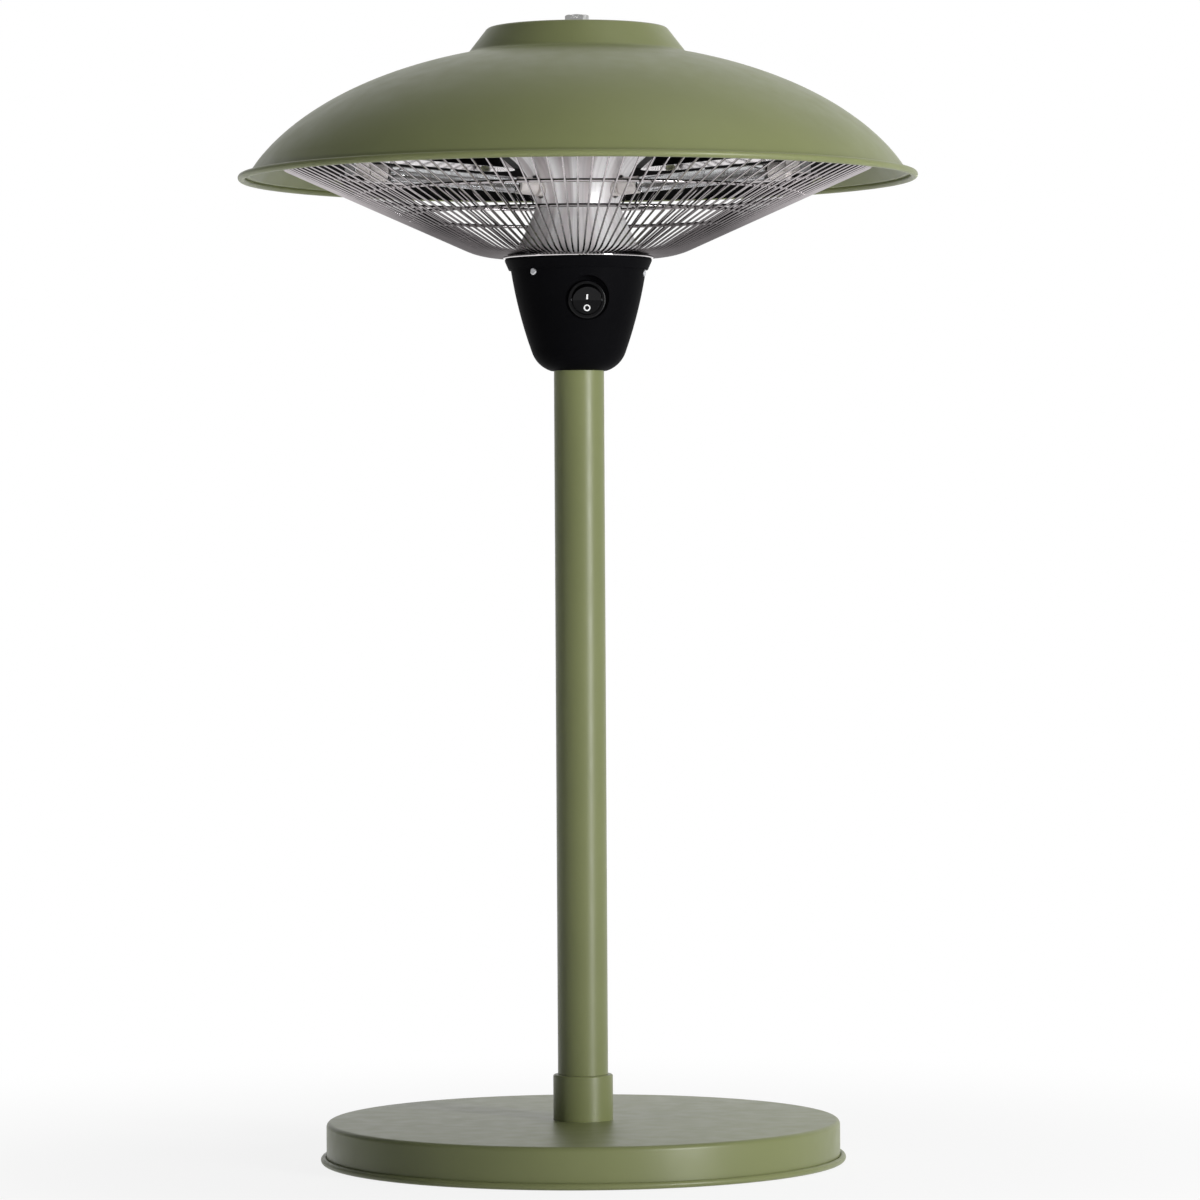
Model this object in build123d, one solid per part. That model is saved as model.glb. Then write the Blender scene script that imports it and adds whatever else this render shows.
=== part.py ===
"""Tabletop infrared patio heater.

The heater stands on a round weighted base. A pole carries a black control housing, a conical wire
guard and a wide olive hood. Three linear lamps lie like spokes between the guard and a heat shield.
Units are millimetres. The origin is on the table under the pole, +Z is up and -Y is the front.
"""

from build123d import *
import os
from math import atan, cos, degrees, radians, sin, sqrt, tan

# Heights that stack up from the table
base_height = 26.0
pole_length = 469.0
housing_height = 70.0
guard_height = 54.8
lip_below_guard_rim = 8.0
lip_height = 4.1
dome_rise = 73.8
crown_height = 17.8

# Base
base_r = 160.8
base_wall = 1.2
base_edge_round = 3.0
bead_r = 2.1
bead_reach = 3.6
bead_lift = 0.4
ballast_gap = 9.6
ballast_bore_r = 30.0
ballast_thick = 6.0
post_r = 7.0
post_count = 4
post_inset = 30.0
plate_lift = 2.4
plate_thick = 1.0
foot_r = 11.0
foot_inset = 19.6

# Pole and its fixings
pole_r = 15.7
pole_wall = 1.5
sleeve_wall = 2.9
sleeve_height = 28.5
sleeve_round = 1.2
plug_height = 14.0
nipple_r = 7.0
nipple_bore_r = 4.5
nipple_length = 26.0
nipple_below_base = 6.3
lock_nut_flats = 19.0
lock_nut_height = 4.0
washer_r = 12.0
washer_thick = 1.0

# Control housing
lip_r = 46.0
lip_drop = 7.0
lip_bottom_r = 43.6
housing_top_r = 42.3
housing_waist_r = 36.9
housing_low_r = 29.3
housing_floor_r = 17.5
housing_low_height = 11.5
housing_wall = 2.4
lid_thick = 1.5
lid_seat_r = 42.0
skirt_r = 38.3
skirt_drop = 14.0
skirt_wall = 1.2
housing_screw_drop = 9.1
screw_r = 1.4
screw_head_r = 2.4
screw_head_height = 1.8
screw_seat_reach = 41.0
lead_hole_r = 2.5

# Rocker switch, turned to the right of the front
switch_turn = 8.5
pocket_r = 13.85
pocket_drop = 25.9
pocket_floor_reach = 33.0
pocket_floor_thick = 2.2
switch_offset = 1.0
bezel_r = 12.0
bezel_thick = 2.2
barrel_r = 10.5
barrel_depth = 19.0
cavity_r = 9.7
cavity_depth = 11.0
rocker_r = 9.5
rocker_front = 2.6
rocker_back = 6.0
rocker_throw = 11.0
rocker_pin_r = 1.2
blade_width = 6.3
blade_thick = 0.8
blade_length = 8.0
mark_depth = 0.4
mark_bar_width = 1.1
mark_bar_height = 3.2
mark_bar_up = 2.1
mark_ring_r = 2.1
mark_ring_line = 0.8
mark_ring_down = 4.7

# Tip-over switch
pendulum_swing = 20.0
case_depth = 11.5
case_height = 26.0
case_wall = 1.5
cover_thick = 1.0
tilt_pin_r = 1.0
pendulum_hub_r = 2.6
pendulum_arm = 13.0
pendulum_bob_r = 4.5
pendulum_thick = 5.0

# Inner bracket and terminal block
bracket_y = 12.0
bracket_width = 30.0
bracket_drop = 43.0
sheet = 1.2
block_width = 29.0
block_depth = 10.0
block_height = 12.0
block_drop = 13.0
cutout_r = 8.0
cutout_height = 6.0
cutout_reach = 25.0
lead_r = 1.3
lead_places = ((-9.0, 7.5), (9.0, 7.5), (0.0, 10.4))
lead_bend_r = 5.0

# Supply lead
supply_r = 3.0
supply_z = 11.0
supply_bend_r = 9.0
supply_top_bend_r = 14.0
grommet_neck_r = 4.6
grommet_flange_r = 5.8
grommet_flange = 2.0

# Polished column
base_ring_thick = 1.2
base_ring_r = 47.0
base_ring_bore_r = 30.0
column_sheet = 0.8
waist_r = 26.3
waist_height = 32.0
bell_mid_r = 30.2
bell_foot_r = 41.0
bell_flange_r = 43.0
spigot_length = 6.0
funnel_mid_r = 30.0
funnel_mid_height = 14.5
funnel_top_r = 46.0
funnel_flange_r = 52.0
window_r = 7.0

# Lamps, in a frame that runs outwards along each lamp
lamp_count = 3
lamp_first_angle = 210.0
lamp_inner_r = 31.0
lamp_centre_height = 47.1
lamp_tilt = 2.7
lamp_length = 118.0
lamp_cap_length = 12.0
quartz_r = 5.0
quartz_wall = 1.0
cap_r = 5.4
filament_r = 1.2
contact_r = 1.6
contact_recess = 2.0
holder_gap = 1.5
holder_inner_start = 11.5
holder_inner_end = 21.5
holder_boss_r = 5.8
lead_end_r = 16.5
holder_outer_length = 9.5
holder_width = 12.0
holder_height = 14.0
holder_plate_drop = 1.2

# Reflector channel above each lamp
channel_inner_inset = 17.0
channel_outer_inset = 9.0
channel_low = 8.5
channel_high = 15.0
channel_half_low = 17.0
channel_half_high = 9.0
channel_sheet = 0.6
stud_r = 2.5
stud_inset = 20.0

# Heat shield
shield_sheet = 0.8
shield_rise = 8.0
shield_flat_margin = 3.9
shield_step = 7.5
shield_rim_lap = 3.0

# Guard
wire_r = 0.8
wire_count = 117
guard_foot_r = 44.0
guard_corner_r = 60.9
guard_reach = 22.9
guard_bend_r = 50.0
rim_ring_r = 1.6
ring_wire_r = 1.1
mid_ring_insets = (42.3, 71.6)
weld_gap = 0.03
clip_width = 8.0
clip_sheet = 1.0
clip_angles = (30.0, 150.0, 270.0)

# Hood
hood_wall = 1.0
vent_gap = 19.0
dome_fullness = 1.0602
crown_foot_r = 76.0
crown_inset = 20.0
crown_side_run = 12.6
crown_edge_round = 4.0
crown_foot_round = 6.0
flare_reach = 6.5
rolled_edge_r = 2.2

# Tie rod
rod_r = 4.0
rod_hole_r = 4.15
rod_nut_flats = 13.0
rod_nut_height = 6.0
rod_spacer_r = 9.0
inner_spacer_r = 6.0
top_flange_r = 9.0
top_flange_thick = 5.4
top_nut_height = 8.0
fit = 0.05
seat = 0.2

# Levels worked out from the heights
z_base = base_height
z_housing = z_base + pole_length
z_lid = z_housing + housing_height
z_base_ring = z_lid + base_ring_thick
z_guard_foot = z_base_ring + wire_r
z_guard_rim = z_guard_foot + guard_height
z_lip = z_guard_rim - lip_below_guard_rim
z_mouth = z_lip + lip_height
z_crown_foot = z_mouth + dome_rise
z_crown = z_crown_foot + crown_height
z_waist = z_base_ring + waist_height
z_plate = z_waist + holder_plate_drop
z_plate_top = z_plate + sheet
z_lamp = z_lid + lamp_centre_height

# Distances from the axis worked out from the pole to the base's edge and from the lamps to the hood
ballast_r = base_r - base_wall - ballast_gap
post_circle_r = ballast_r - post_inset
foot_circle_r = base_r - base_wall - foot_inset
lamp_centre_r = lamp_inner_r + lamp_length / 2
holder_face_r = lamp_centre_r + (lamp_length / 2 + holder_gap) * cos(radians(lamp_tilt))
holder_back_r = holder_face_r + holder_outer_length + sheet
shield_flat_r = holder_back_r + shield_flat_margin
guard_rim_r = holder_back_r + guard_reach
guard_slope = degrees(atan(guard_height / (guard_rim_r - guard_corner_r)))
shield_rim_r = guard_rim_r + shield_rim_lap
mouth_r = shield_rim_r + vent_gap
hood_r = mouth_r + flare_reach
crown_top_r = crown_foot_r - crown_inset

# Names with their finished shapes, in the order they are made
pieces = {}


def keep(name, shape):
    """Store a finished piece under its node's name."""
    pieces[name] = shape
    return shape


def rz(point):
    """Turn a radius and a height into a point of the plane that outlines are drawn in."""
    return Vector(point[0], 0, point[1])


def path(*points):
    """Open run of straight edges through radius and height pairs."""
    return Polyline(*[rz(p) for p in points])


def turned(*edges):
    """Solid of revolution about the heater's axis inside a closed run of edges."""
    return revolve(make_face(Wire(ShapeList(edges).edges())), Axis.Z, 360)


def turned_outline(*points):
    """Solid of revolution of a closed outline given as radius and height pairs."""
    return revolve(make_face(Polyline(*[rz(p) for p in points], close=True)), Axis.Z, 360)


def ring(outer, inner, low, high):
    """Flat ring or tube about the heater's axis."""
    return turned_outline((inner, low), (outer, low), (outer, high), (inner, high))


def upright(radius, low, high, x=0.0, y=0.0):
    """Vertical rod between two heights."""
    return Pos(x, y, low) * Cylinder(radius, high - low, align=(Align.CENTER, Align.CENTER, Align.MIN))


def outward(radius, start, end, height):
    """Horizontal rod that points to the front, between two distances from the axis."""
    rod = Cylinder(radius, end - start, align=(Align.CENTER, Align.CENTER, Align.MIN))
    return Pos(0, -start, height) * Rot(90, 0, 0) * rod


def block(x, y, z):
    """Box between pairs of limits along each axis."""
    size = Box(x[1] - x[0], y[1] - y[0], z[1] - z[0], align=(Align.MIN, Align.MIN, Align.MIN))
    return Pos(x[0], y[0], z[0]) * size


def around(shape, angles):
    """Copies of a piece turned about the heater's axis, as one group of separate solids."""
    return Compound(children=[Rot(0, 0, a) * shape for a in angles])


def spread(count, first=0.0):
    """Evenly spaced angles."""
    return [first + 360.0 * i / count for i in range(count)]


def meet(p, p_angle, q, q_angle):
    """Point where two lines cross, each given by a point and its angle in degrees."""
    pc, ps = cos(radians(p_angle)), sin(radians(p_angle))
    qc, qs = cos(radians(q_angle)), sin(radians(q_angle))
    step = ((q[0] - p[0]) * qs - (q[1] - p[1]) * qc) / (pc * qs - ps * qc)
    return (p[0] + step * pc, p[1] + step * ps)


def shifted(point, angle, distance):
    """Point moved square to a line's angle, to its left."""
    return (point[0] - distance * sin(radians(angle)), point[1] + distance * cos(radians(angle)))


def tube_along(route, radius):
    """Round rod along a route, its own volume compared with length times section."""
    section = Plane(origin=route @ 0, z_dir=route % 0) * Circle(radius)
    rod = sweep(section, path=route)
    ratio = rod.volume / (route.length * section.area)
    print("round run", round(route.length, 1), "mm, radius", radius, "volume ratio", round(ratio, 4))
    return rod


def hexagon_nut(flats, height, bore_r, low):
    """Hexagon nut with chamfered corners about the heater's axis."""
    body = extrude(Pos(0, 0, low) * RegularPolygon(flats / 2, 6, major_radius=False), height)
    corner_r = flats / sqrt(3)
    rounding = corner_r - flats / 2
    cone = turned_outline((0, low), (flats / 2, low), (corner_r, low + rounding / 2),
                          (corner_r, low + height - rounding / 2), (flats / 2, low + height),
                          (0, low + height))
    return (body & cone) - upright(bore_r, low - 1, low + height + 1)


def make_base():
    """Shell, ballast, plate, feet and screws of the base."""
    wall_in = base_r - base_wall
    bead_mid_r = base_r + bead_reach - bead_r
    bead_mid_z = bead_lift + bead_r
    shell_hole = nipple_r + seat
    grommet_hole = grommet_neck_r + fit
    outer = FilletPolyline(rz((shell_hole, z_base)), rz((base_r, z_base)), rz((base_r, bead_mid_z)),
                           radius=base_edge_round)
    inner = FilletPolyline(rz((wall_in, bead_mid_z)), rz((wall_in, z_base - base_wall)),
                           rz((shell_hole, z_base - base_wall)), radius=base_edge_round - base_wall)
    close_low = Line(rz((base_r, bead_mid_z)), rz((wall_in, bead_mid_z)))
    close_hole = Line(rz((shell_hole, z_base - base_wall)), rz((shell_hole, z_base)))
    shell = turned(outer, close_low, inner, close_hole)
    shell += Pos(0, 0, bead_mid_z) * Torus(bead_mid_r, bead_r)
    shell -= Rot(0, 0, 180) * outward(grommet_hole, ballast_r, base_r + bead_reach, supply_z)
    keep("base_shell", shell)

    ballast_top = z_base - base_wall
    ballast_low = ballast_top - ballast_thick
    plate_low = plate_lift
    plate_top = plate_low + plate_thick
    post_angles = spread(post_count, 45.0)
    ballast = ring(ballast_r, ballast_bore_r, ballast_low, ballast_top)
    for angle in post_angles:
        place = Rot(0, 0, angle)
        ballast += place * upright(post_r, plate_top, ballast_low, post_circle_r)
        ballast -= place * upright(screw_r + fit, plate_top - 1, ballast_top - 1, post_circle_r)
    keep("base_ballast", ballast)

    plate = upright(wall_in - 0.6, plate_low, plate_top)
    for angle in post_angles:
        plate -= Rot(0, 0, angle) * upright(screw_r + fit, plate_low - 1, plate_top + 1, post_circle_r)
    keep("base_plate", plate)

    screw_top = ballast_low - 2.0
    screw = upright(screw_r, plate_low, screw_top, post_circle_r)
    screw += upright(screw_head_r, plate_low - screw_head_height * 0.7, plate_low, post_circle_r)
    keep("base_plate_screws", around(screw, post_angles))

    foot = upright(foot_r, 0, plate_low, foot_circle_r)
    foot = chamfer(foot.edges().group_by(Axis.Z)[0], 0.4)
    keep("base_feet", around(foot, spread(post_count, 45.0)))

    grommet = outward(grommet_flange_r, base_r, base_r + grommet_flange, supply_z)
    inner_seat = sqrt(wall_in ** 2 - (grommet_flange_r + fit) ** 2)
    grommet += outward(grommet_neck_r, inner_seat, base_r, supply_z)
    grommet += outward(grommet_flange_r, inner_seat - grommet_flange, inner_seat, supply_z)
    grommet -= outward(supply_r + fit, ballast_r, base_r + 2 * grommet_flange, supply_z)
    keep("cable_grommet", Rot(0, 0, 180) * grommet)


def make_pole():
    """Pole, sleeve and the hollow fixings at both ends."""
    keep("pole", ring(pole_r, pole_r - pole_wall, z_base, z_housing))

    sleeve_r = pole_r + seat / 2 + sleeve_wall
    sleeve = ring(sleeve_r, pole_r + seat / 2, z_base, z_base + sleeve_height)
    sleeve = fillet(sleeve.edges().group_by(Axis.Z)[-1].sort_by(SortBy.RADIUS)[-1:],
                    min(sleeve_round, sleeve_wall * 0.45))
    keep("pole_sleeve", sleeve)

    plug_r = pole_r - pole_wall - fit
    plug_bore = nipple_r + fit
    low_plug = ring(plug_r, plug_bore, z_base, z_base + plug_height)
    top_plug = ring(plug_r, plug_bore, z_housing - plug_height, z_housing)
    keep("pole_plugs", Compound(children=[low_plug, top_plug]))

    shell_under = z_base - base_wall
    floor_top = z_housing + housing_wall
    low_start = shell_under - nipple_below_base
    top_start = floor_top + washer_thick + lock_nut_height + 2.0 - nipple_length
    nipples = [ring(nipple_r, nipple_bore_r, start, start + nipple_length)
               for start in (low_start, top_start)]
    keep("pole_nipples", Compound(children=nipples))

    low_washer = ring(washer_r, nipple_r + seat, shell_under - washer_thick, shell_under)
    top_washer = ring(washer_r, nipple_r + seat, floor_top, floor_top + washer_thick)
    keep("pole_washers", Compound(children=[low_washer, top_washer]))

    low_nut = hexagon_nut(lock_nut_flats, lock_nut_height, nipple_r + fit,
                          shell_under - washer_thick - lock_nut_height)
    top_nut = hexagon_nut(lock_nut_flats, lock_nut_height, nipple_r + fit, floor_top + washer_thick)
    keep("pole_nuts", Compound(children=[low_nut, top_nut]))


def housing_edges(inset):
    """Side and rounded foot of the housing's outline, drawn in by a wall's thickness."""
    side_top = (housing_top_r - inset, z_lid - lip_drop)
    side_mid = (housing_waist_r - inset, z_lid - housing_height * 0.479)
    side_low = (housing_low_r - inset, z_housing + housing_low_height)
    floor_edge = (housing_floor_r, z_housing + inset)
    round_mid = ((side_low[0] * 0.62 + floor_edge[0] * 0.38) - 0.5,
                 (side_low[1] * 0.42 + floor_edge[1] * 0.58) - 0.9)
    side = ThreePointArc(rz(side_top), rz(side_mid), rz(side_low))
    foot = ThreePointArc(rz(side_low), rz(round_mid), rz(floor_edge))
    return side, foot, side_top, floor_edge


def make_housing():
    """Plastic cup with its lip and switch pocket, its lid and the screws that hold them together."""
    bore = nipple_r + seat
    side, foot, side_top, floor_edge = housing_edges(0)
    in_side, in_foot, in_top, in_floor = housing_edges(housing_wall)
    lid_low = z_lid - lid_thick
    lip = path((lid_seat_r, z_lid), (lip_r - 0.5, z_lid), (lip_r, z_lid - 0.5), (lip_r, z_lid - 1.5),
               (lip_bottom_r, z_lid - lip_drop), side_top)
    floor = path(floor_edge, (bore, z_housing), (bore, z_housing + housing_wall), in_floor)
    top = path(in_top, (in_top[0], lid_low), (lid_seat_r, lid_low), (lid_seat_r, z_lid))
    cup = turned(lip, side, foot, floor, in_foot, in_side, top)

    pocket_z = z_lid - pocket_drop
    solid_cup = turned(path((0, z_lid - lip_drop), side_top), side, foot,
                       path(floor_edge, (0, z_housing), (0, z_lid - lip_drop)))
    boss_reach = pocket_floor_reach - pocket_floor_thick
    boss = outward(pocket_r + housing_wall, boss_reach, lip_r, pocket_z) & solid_cup
    boss = Rot(0, 0, switch_turn) * boss
    cup += boss
    cup -= Rot(0, 0, switch_turn) * outward(pocket_r, pocket_floor_reach, lip_r + 1, pocket_z)
    hole = outward(barrel_r + 0.1, boss_reach - 1, pocket_floor_reach + 1, pocket_z - switch_offset)
    cup -= Rot(0, 0, switch_turn) * hole
    screw_z = z_lid - housing_screw_drop
    screw_angles = [switch_turn + a for a in (-50.0, 70.0, 190.0)]
    for angle in screw_angles:
        place = Rot(0, 0, angle)
        cup -= place * outward(screw_r + seat, skirt_r, screw_seat_reach + 1, screw_z)
        cup -= place * outward(screw_head_r + seat, screw_seat_reach, lip_r + 1, screw_z)
    keep("control_housing", cup)

    lid = ring(lid_seat_r - 0.1, rod_hole_r, lid_low, z_lid)
    lid += ring(skirt_r, skirt_r - skirt_wall, lid_low - skirt_drop, lid_low)
    for x, y in lead_places:
        lid -= upright(lead_hole_r, lid_low - 1, z_lid + 1, x, y)
    for angle in screw_angles:
        lid -= Rot(0, 0, angle) * outward(screw_r + fit, skirt_r - 2 * skirt_wall, skirt_r + 1, screw_z)
    lid -= Rot(0, 0, switch_turn) * block((-pocket_r, pocket_r), (-lip_r, -boss_reach + 4),
                                          (lid_low - skirt_drop - 1, pocket_z + pocket_r + 3))
    keep("housing_lid", lid)

    head_end = screw_seat_reach + screw_head_height
    screw = outward(screw_r, skirt_r - 3.0, screw_seat_reach, screw_z)
    screw += outward(screw_head_r, screw_seat_reach, head_end, screw_z)
    screw = fillet(screw.edges().group_by(Axis.Y)[0], screw_head_height * 0.45)
    slot = block((-screw_head_r, screw_head_r), (-head_end - 1, -head_end + 0.7),
                 (screw_z - 0.3, screw_z + 0.3))
    keep("housing_screws", around(screw - slot, screw_angles))


def make_switch():
    """Round rocker switch: body with bezel, rocker, marks, pivot pin and terminals."""
    centre_z = z_lid - pocket_drop - switch_offset
    bezel_end = pocket_floor_reach + bezel_thick
    barrel_start = pocket_floor_reach - barrel_depth
    body = outward(barrel_r, barrel_start, pocket_floor_reach, centre_z)
    bezel = outward(bezel_r, pocket_floor_reach, bezel_end, centre_z)
    bezel = fillet(bezel.edges().group_by(Axis.Y)[0], bezel_thick * 0.4)
    body += bezel
    body -= outward(cavity_r, pocket_floor_reach - cavity_depth, bezel_end + 1, centre_z)
    pin_y = -pocket_floor_reach
    pin_half = (cavity_r + barrel_r) / 2
    pin = Pos(0, pin_y, centre_z) * Rot(0, 90, 0) * Cylinder(rocker_pin_r, 2 * pin_half)
    pin_hole = Pos(0, pin_y, centre_z) * Rot(0, 90, 0) * Cylinder(rocker_pin_r + 0.02, 2 * pin_half)
    body -= pin_hole
    turn = Rot(0, 0, switch_turn)
    keep("switch_body", turn * body)
    keep("rocker_pin", turn * pin)

    front = pocket_floor_reach + rocker_front
    reach = 2 * rocker_r
    rocker = Pos(0, pin_y, centre_z) * Rot(0, 90, 0) * Sphere(rocker_r)
    rocker &= block((-reach, reach), (-front - reach, pin_y + rocker_back), (centre_z - reach, centre_z + reach))
    throw = radians(rocker_throw)
    slope = reach * tan(throw)
    side_view = Polyline((0, -front, centre_z), (0, -front - slope, centre_z + reach),
                         (0, -front - 2 * reach, centre_z + reach),
                         (0, -front - 2 * reach, centre_z - reach),
                         (0, -front - slope, centre_z - reach), close=True)
    front_cut = extrude(make_face(side_view), reach, dir=(1, 0, 0), both=True)
    rocker -= front_cut
    bore = Pos(0, pin_y, centre_z) * Rot(0, 90, 0) * Cylinder(rocker_pin_r + fit, 3 * rocker_r)
    rocker -= bore
    face_z = mark_bar_up / cos(throw)
    bar = block((-mark_bar_width / 2, mark_bar_width / 2), (-mark_depth, 0),
                (face_z - mark_bar_height / 2, face_z + mark_bar_height / 2))
    bar = Pos(0, -front, centre_z) * Rot(rocker_throw, 0, 0) * Pos(0, mark_depth, 0) * bar
    loop = Cylinder(mark_ring_r, mark_depth) - Cylinder(mark_ring_r - mark_ring_line, mark_depth)
    loop = Pos(0, mark_depth / 2, -mark_ring_down / cos(throw)) * Rot(90, 0, 0) * loop
    loop = Pos(0, -front, centre_z) * Rot(-rocker_throw, 0, 0) * loop
    rocker = rocker - bar - loop
    rest = Axis((0, pin_y, centre_z), (1, 0, 0))
    keep("switch_rocker", turn * rocker.rotate(rest, rocker_throw))
    marks = [turn * mark.rotate(rest, rocker_throw) for mark in (bar, loop)]
    keep("switch_marks", Compound(children=marks))

    blades = []
    for z in (centre_z - 5.0, centre_z + 5.0):
        blade = block((-blade_width / 2, blade_width / 2), (-barrel_start, blade_length - barrel_start),
                      (z - blade_thick / 2, z + blade_thick / 2))
        blades.append(turn * blade)
    keep("switch_terminals", Compound(children=blades))


def make_controls():
    """Bracket under the lid with the terminal block, tip-over switch, cut-out and leads."""
    under = z_lid - lid_thick
    half = bracket_width / 2
    back_y = bracket_y + sheet
    bracket = block((-half, half), (bracket_y, back_y), (under - bracket_drop, under))
    bracket += block((-half, half), (bracket_y, bracket_y + 9.0), (under - sheet, under))
    keep("inner_bracket", bracket)

    block_top = under - block_drop
    terminals = block((-block_width / 2, block_width / 2), (bracket_y - block_depth, bracket_y),
                      (block_top - block_height, block_top))
    keep("terminal_block", fillet(terminals.edges().filter_by(Axis.X), 1.0))
    heads = [Pos(x, bracket_y - block_depth, block_top - block_height / 2) * Rot(90, 0, 0)
             * Cylinder(2.2, 1.6, align=(Align.CENTER, Align.CENTER, Align.MIN))
             for x in (-9.0, 0.0, 9.0)]
    keep("terminal_screws", Compound(children=heads))

    case_top = under - 12.0
    case_width = 2 * (case_wall + pendulum_bob_r + pendulum_arm * sin(radians(pendulum_swing)) + 0.5)
    case_low = case_top - case_height
    case_end = back_y + case_depth
    case = block((-case_width / 2, case_width / 2), (back_y, case_end), (case_low, case_top))
    case -= block((case_wall - case_width / 2, case_width / 2 - case_wall),
                  (back_y + case_wall, case_end + 1), (case_low + case_wall, case_top - case_wall))
    pivot_z = case_top - 5.5
    pin_low, pin_high = back_y + case_wall / 2, case_end + cover_thick / 2
    pin_place = Pos(0, pin_low, pivot_z) * Rot(-90, 0, 0)
    pin_align = (Align.CENTER, Align.CENTER, Align.MIN)
    pin = pin_place * Cylinder(tilt_pin_r, pin_high - pin_low, align=pin_align)
    pin_hole = pin_place * Cylinder(tilt_pin_r + 0.02, pin_high - pin_low, align=pin_align)
    keep("tilt_case", case - pin_hole)
    keep("tilt_pin", pin)
    cover = block((-case_width / 2, case_width / 2), (case_end, case_end + cover_thick),
                  (case_low, case_top))
    keep("tilt_cover", cover - pin_hole)

    bob_mid = (back_y + case_wall + case_end) / 2
    hub = Pos(0, bob_mid, pivot_z) * Rot(90, 0, 0) * Cylinder(pendulum_hub_r, pendulum_thick)
    bob = Pos(0, bob_mid, pivot_z - pendulum_arm) * Rot(90, 0, 0) * Cylinder(pendulum_bob_r, pendulum_thick)
    arm = block((-0.9, 0.9), (bob_mid - 1.0, bob_mid + 1.0), (pivot_z - pendulum_arm, pivot_z))
    bore = Pos(0, bob_mid, pivot_z) * Rot(90, 0, 0) * Cylinder(tilt_pin_r + fit, 2 * pendulum_thick)
    keep("tilt_pendulum", hub + bob + arm - bore)

    cutout = upright(cutout_r, under - cutout_height, under, -cutout_reach * 0.88, -cutout_reach * 0.42)
    keep("thermal_cutout", fillet(cutout.edges().group_by(Axis.Z)[0], 1.0))

    leads = []
    for (x, y), angle in zip(lead_places, spread(lamp_count, lamp_first_angle)):
        end_x, end_y = lead_end_r * cos(radians(angle)), lead_end_r * sin(radians(angle))
        route = FilletPolyline((x, y, block_top), (x, y, z_base_ring + lead_bend_r),
                               (end_x, end_y, z_waist - lead_bend_r), (end_x, end_y, z_plate_top),
                               radius=lead_bend_r)
        leads.append(tube_along(route, lead_r))
    keep("column_leads", Compound(children=leads))

    start = base_r - 1.0
    top = block_top - block_height
    bend_low = z_housing + 13.5
    end_y = bracket_y - block_depth / 2
    route = FilletPolyline((0, start, supply_z), (0, 0, supply_z), (0, 0, bend_low),
                           (0, end_y, bend_low + 12.0), (0, end_y, top),
                           radius=[supply_bend_r, supply_top_bend_r, supply_top_bend_r])
    keep("supply_lead", tube_along(route, supply_r))


def make_column():
    """Polished base ring, bell and funnel round the tie rod."""
    base_ring = ring(base_ring_r, base_ring_bore_r, z_lid, z_base_ring)
    rims = base_ring.edges().filter_by(GeomType.CIRCLE).sort_by(SortBy.RADIUS)[-2:]
    keep("guard_base_ring", fillet(rims, base_ring_thick * 0.4))

    t = column_sheet
    foot_z = z_base_ring + t
    mid_z = z_base_ring + waist_height * 0.68
    outer = ThreePointArc(rz((waist_r, z_waist)), rz((bell_mid_r, mid_z)), rz((bell_foot_r, foot_z)))
    inner = ThreePointArc(rz((bell_foot_r - t, z_base_ring)), rz((bell_mid_r - t, mid_z)),
                          rz((waist_r - t, z_waist)))
    flange = path((bell_foot_r, foot_z), (bell_flange_r, foot_z), (bell_flange_r, z_base_ring),
                  (bell_foot_r - t, z_base_ring))
    keep("column_bell", turned(outer, flange, inner, path((waist_r - t, z_waist), (waist_r, z_waist))))

    shield_under = z_guard_shield() + shield_rise
    start = z_waist + seat
    funnel_mid_z = start + funnel_mid_height
    top_z = shield_under - t - 1.0
    spigot_r = waist_r - t - fit
    outer = ThreePointArc(rz((waist_r, start)), rz((funnel_mid_r, funnel_mid_z)), rz((funnel_top_r, top_z)))
    inner = ThreePointArc(rz((funnel_top_r - t, top_z + t)), rz((funnel_mid_r - t, funnel_mid_z)),
                          rz((spigot_r - t, start + t)))
    top = path((funnel_top_r, top_z), (funnel_flange_r, shield_under - t), (funnel_flange_r, shield_under),
               (funnel_top_r - t, shield_under), (funnel_top_r - t, top_z + t))
    low = path((spigot_r - t, start + t), (spigot_r - t, start - spigot_length),
               (spigot_r, start - spigot_length), (spigot_r, start), (waist_r, start))
    funnel = turned(outer, top, inner, low)
    for angle in spread(lamp_count, lamp_first_angle):
        window = Pos(-lamp_centre_r * 0.7, 0, 0) * Rot(0, 90, 0) * Cylinder(window_r, lamp_centre_r * 0.5)
        funnel -= lamp_place(angle) * window
    keep("column_funnel", funnel)


def z_guard_shield():
    """Underside of the heat shield's rim, which rests on the guard's rim ring."""
    ring_mid = guard_ring_centre(guard_rim_r - 2.0, rim_ring_r)
    return ring_mid[1] + rim_ring_r + seat


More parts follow.
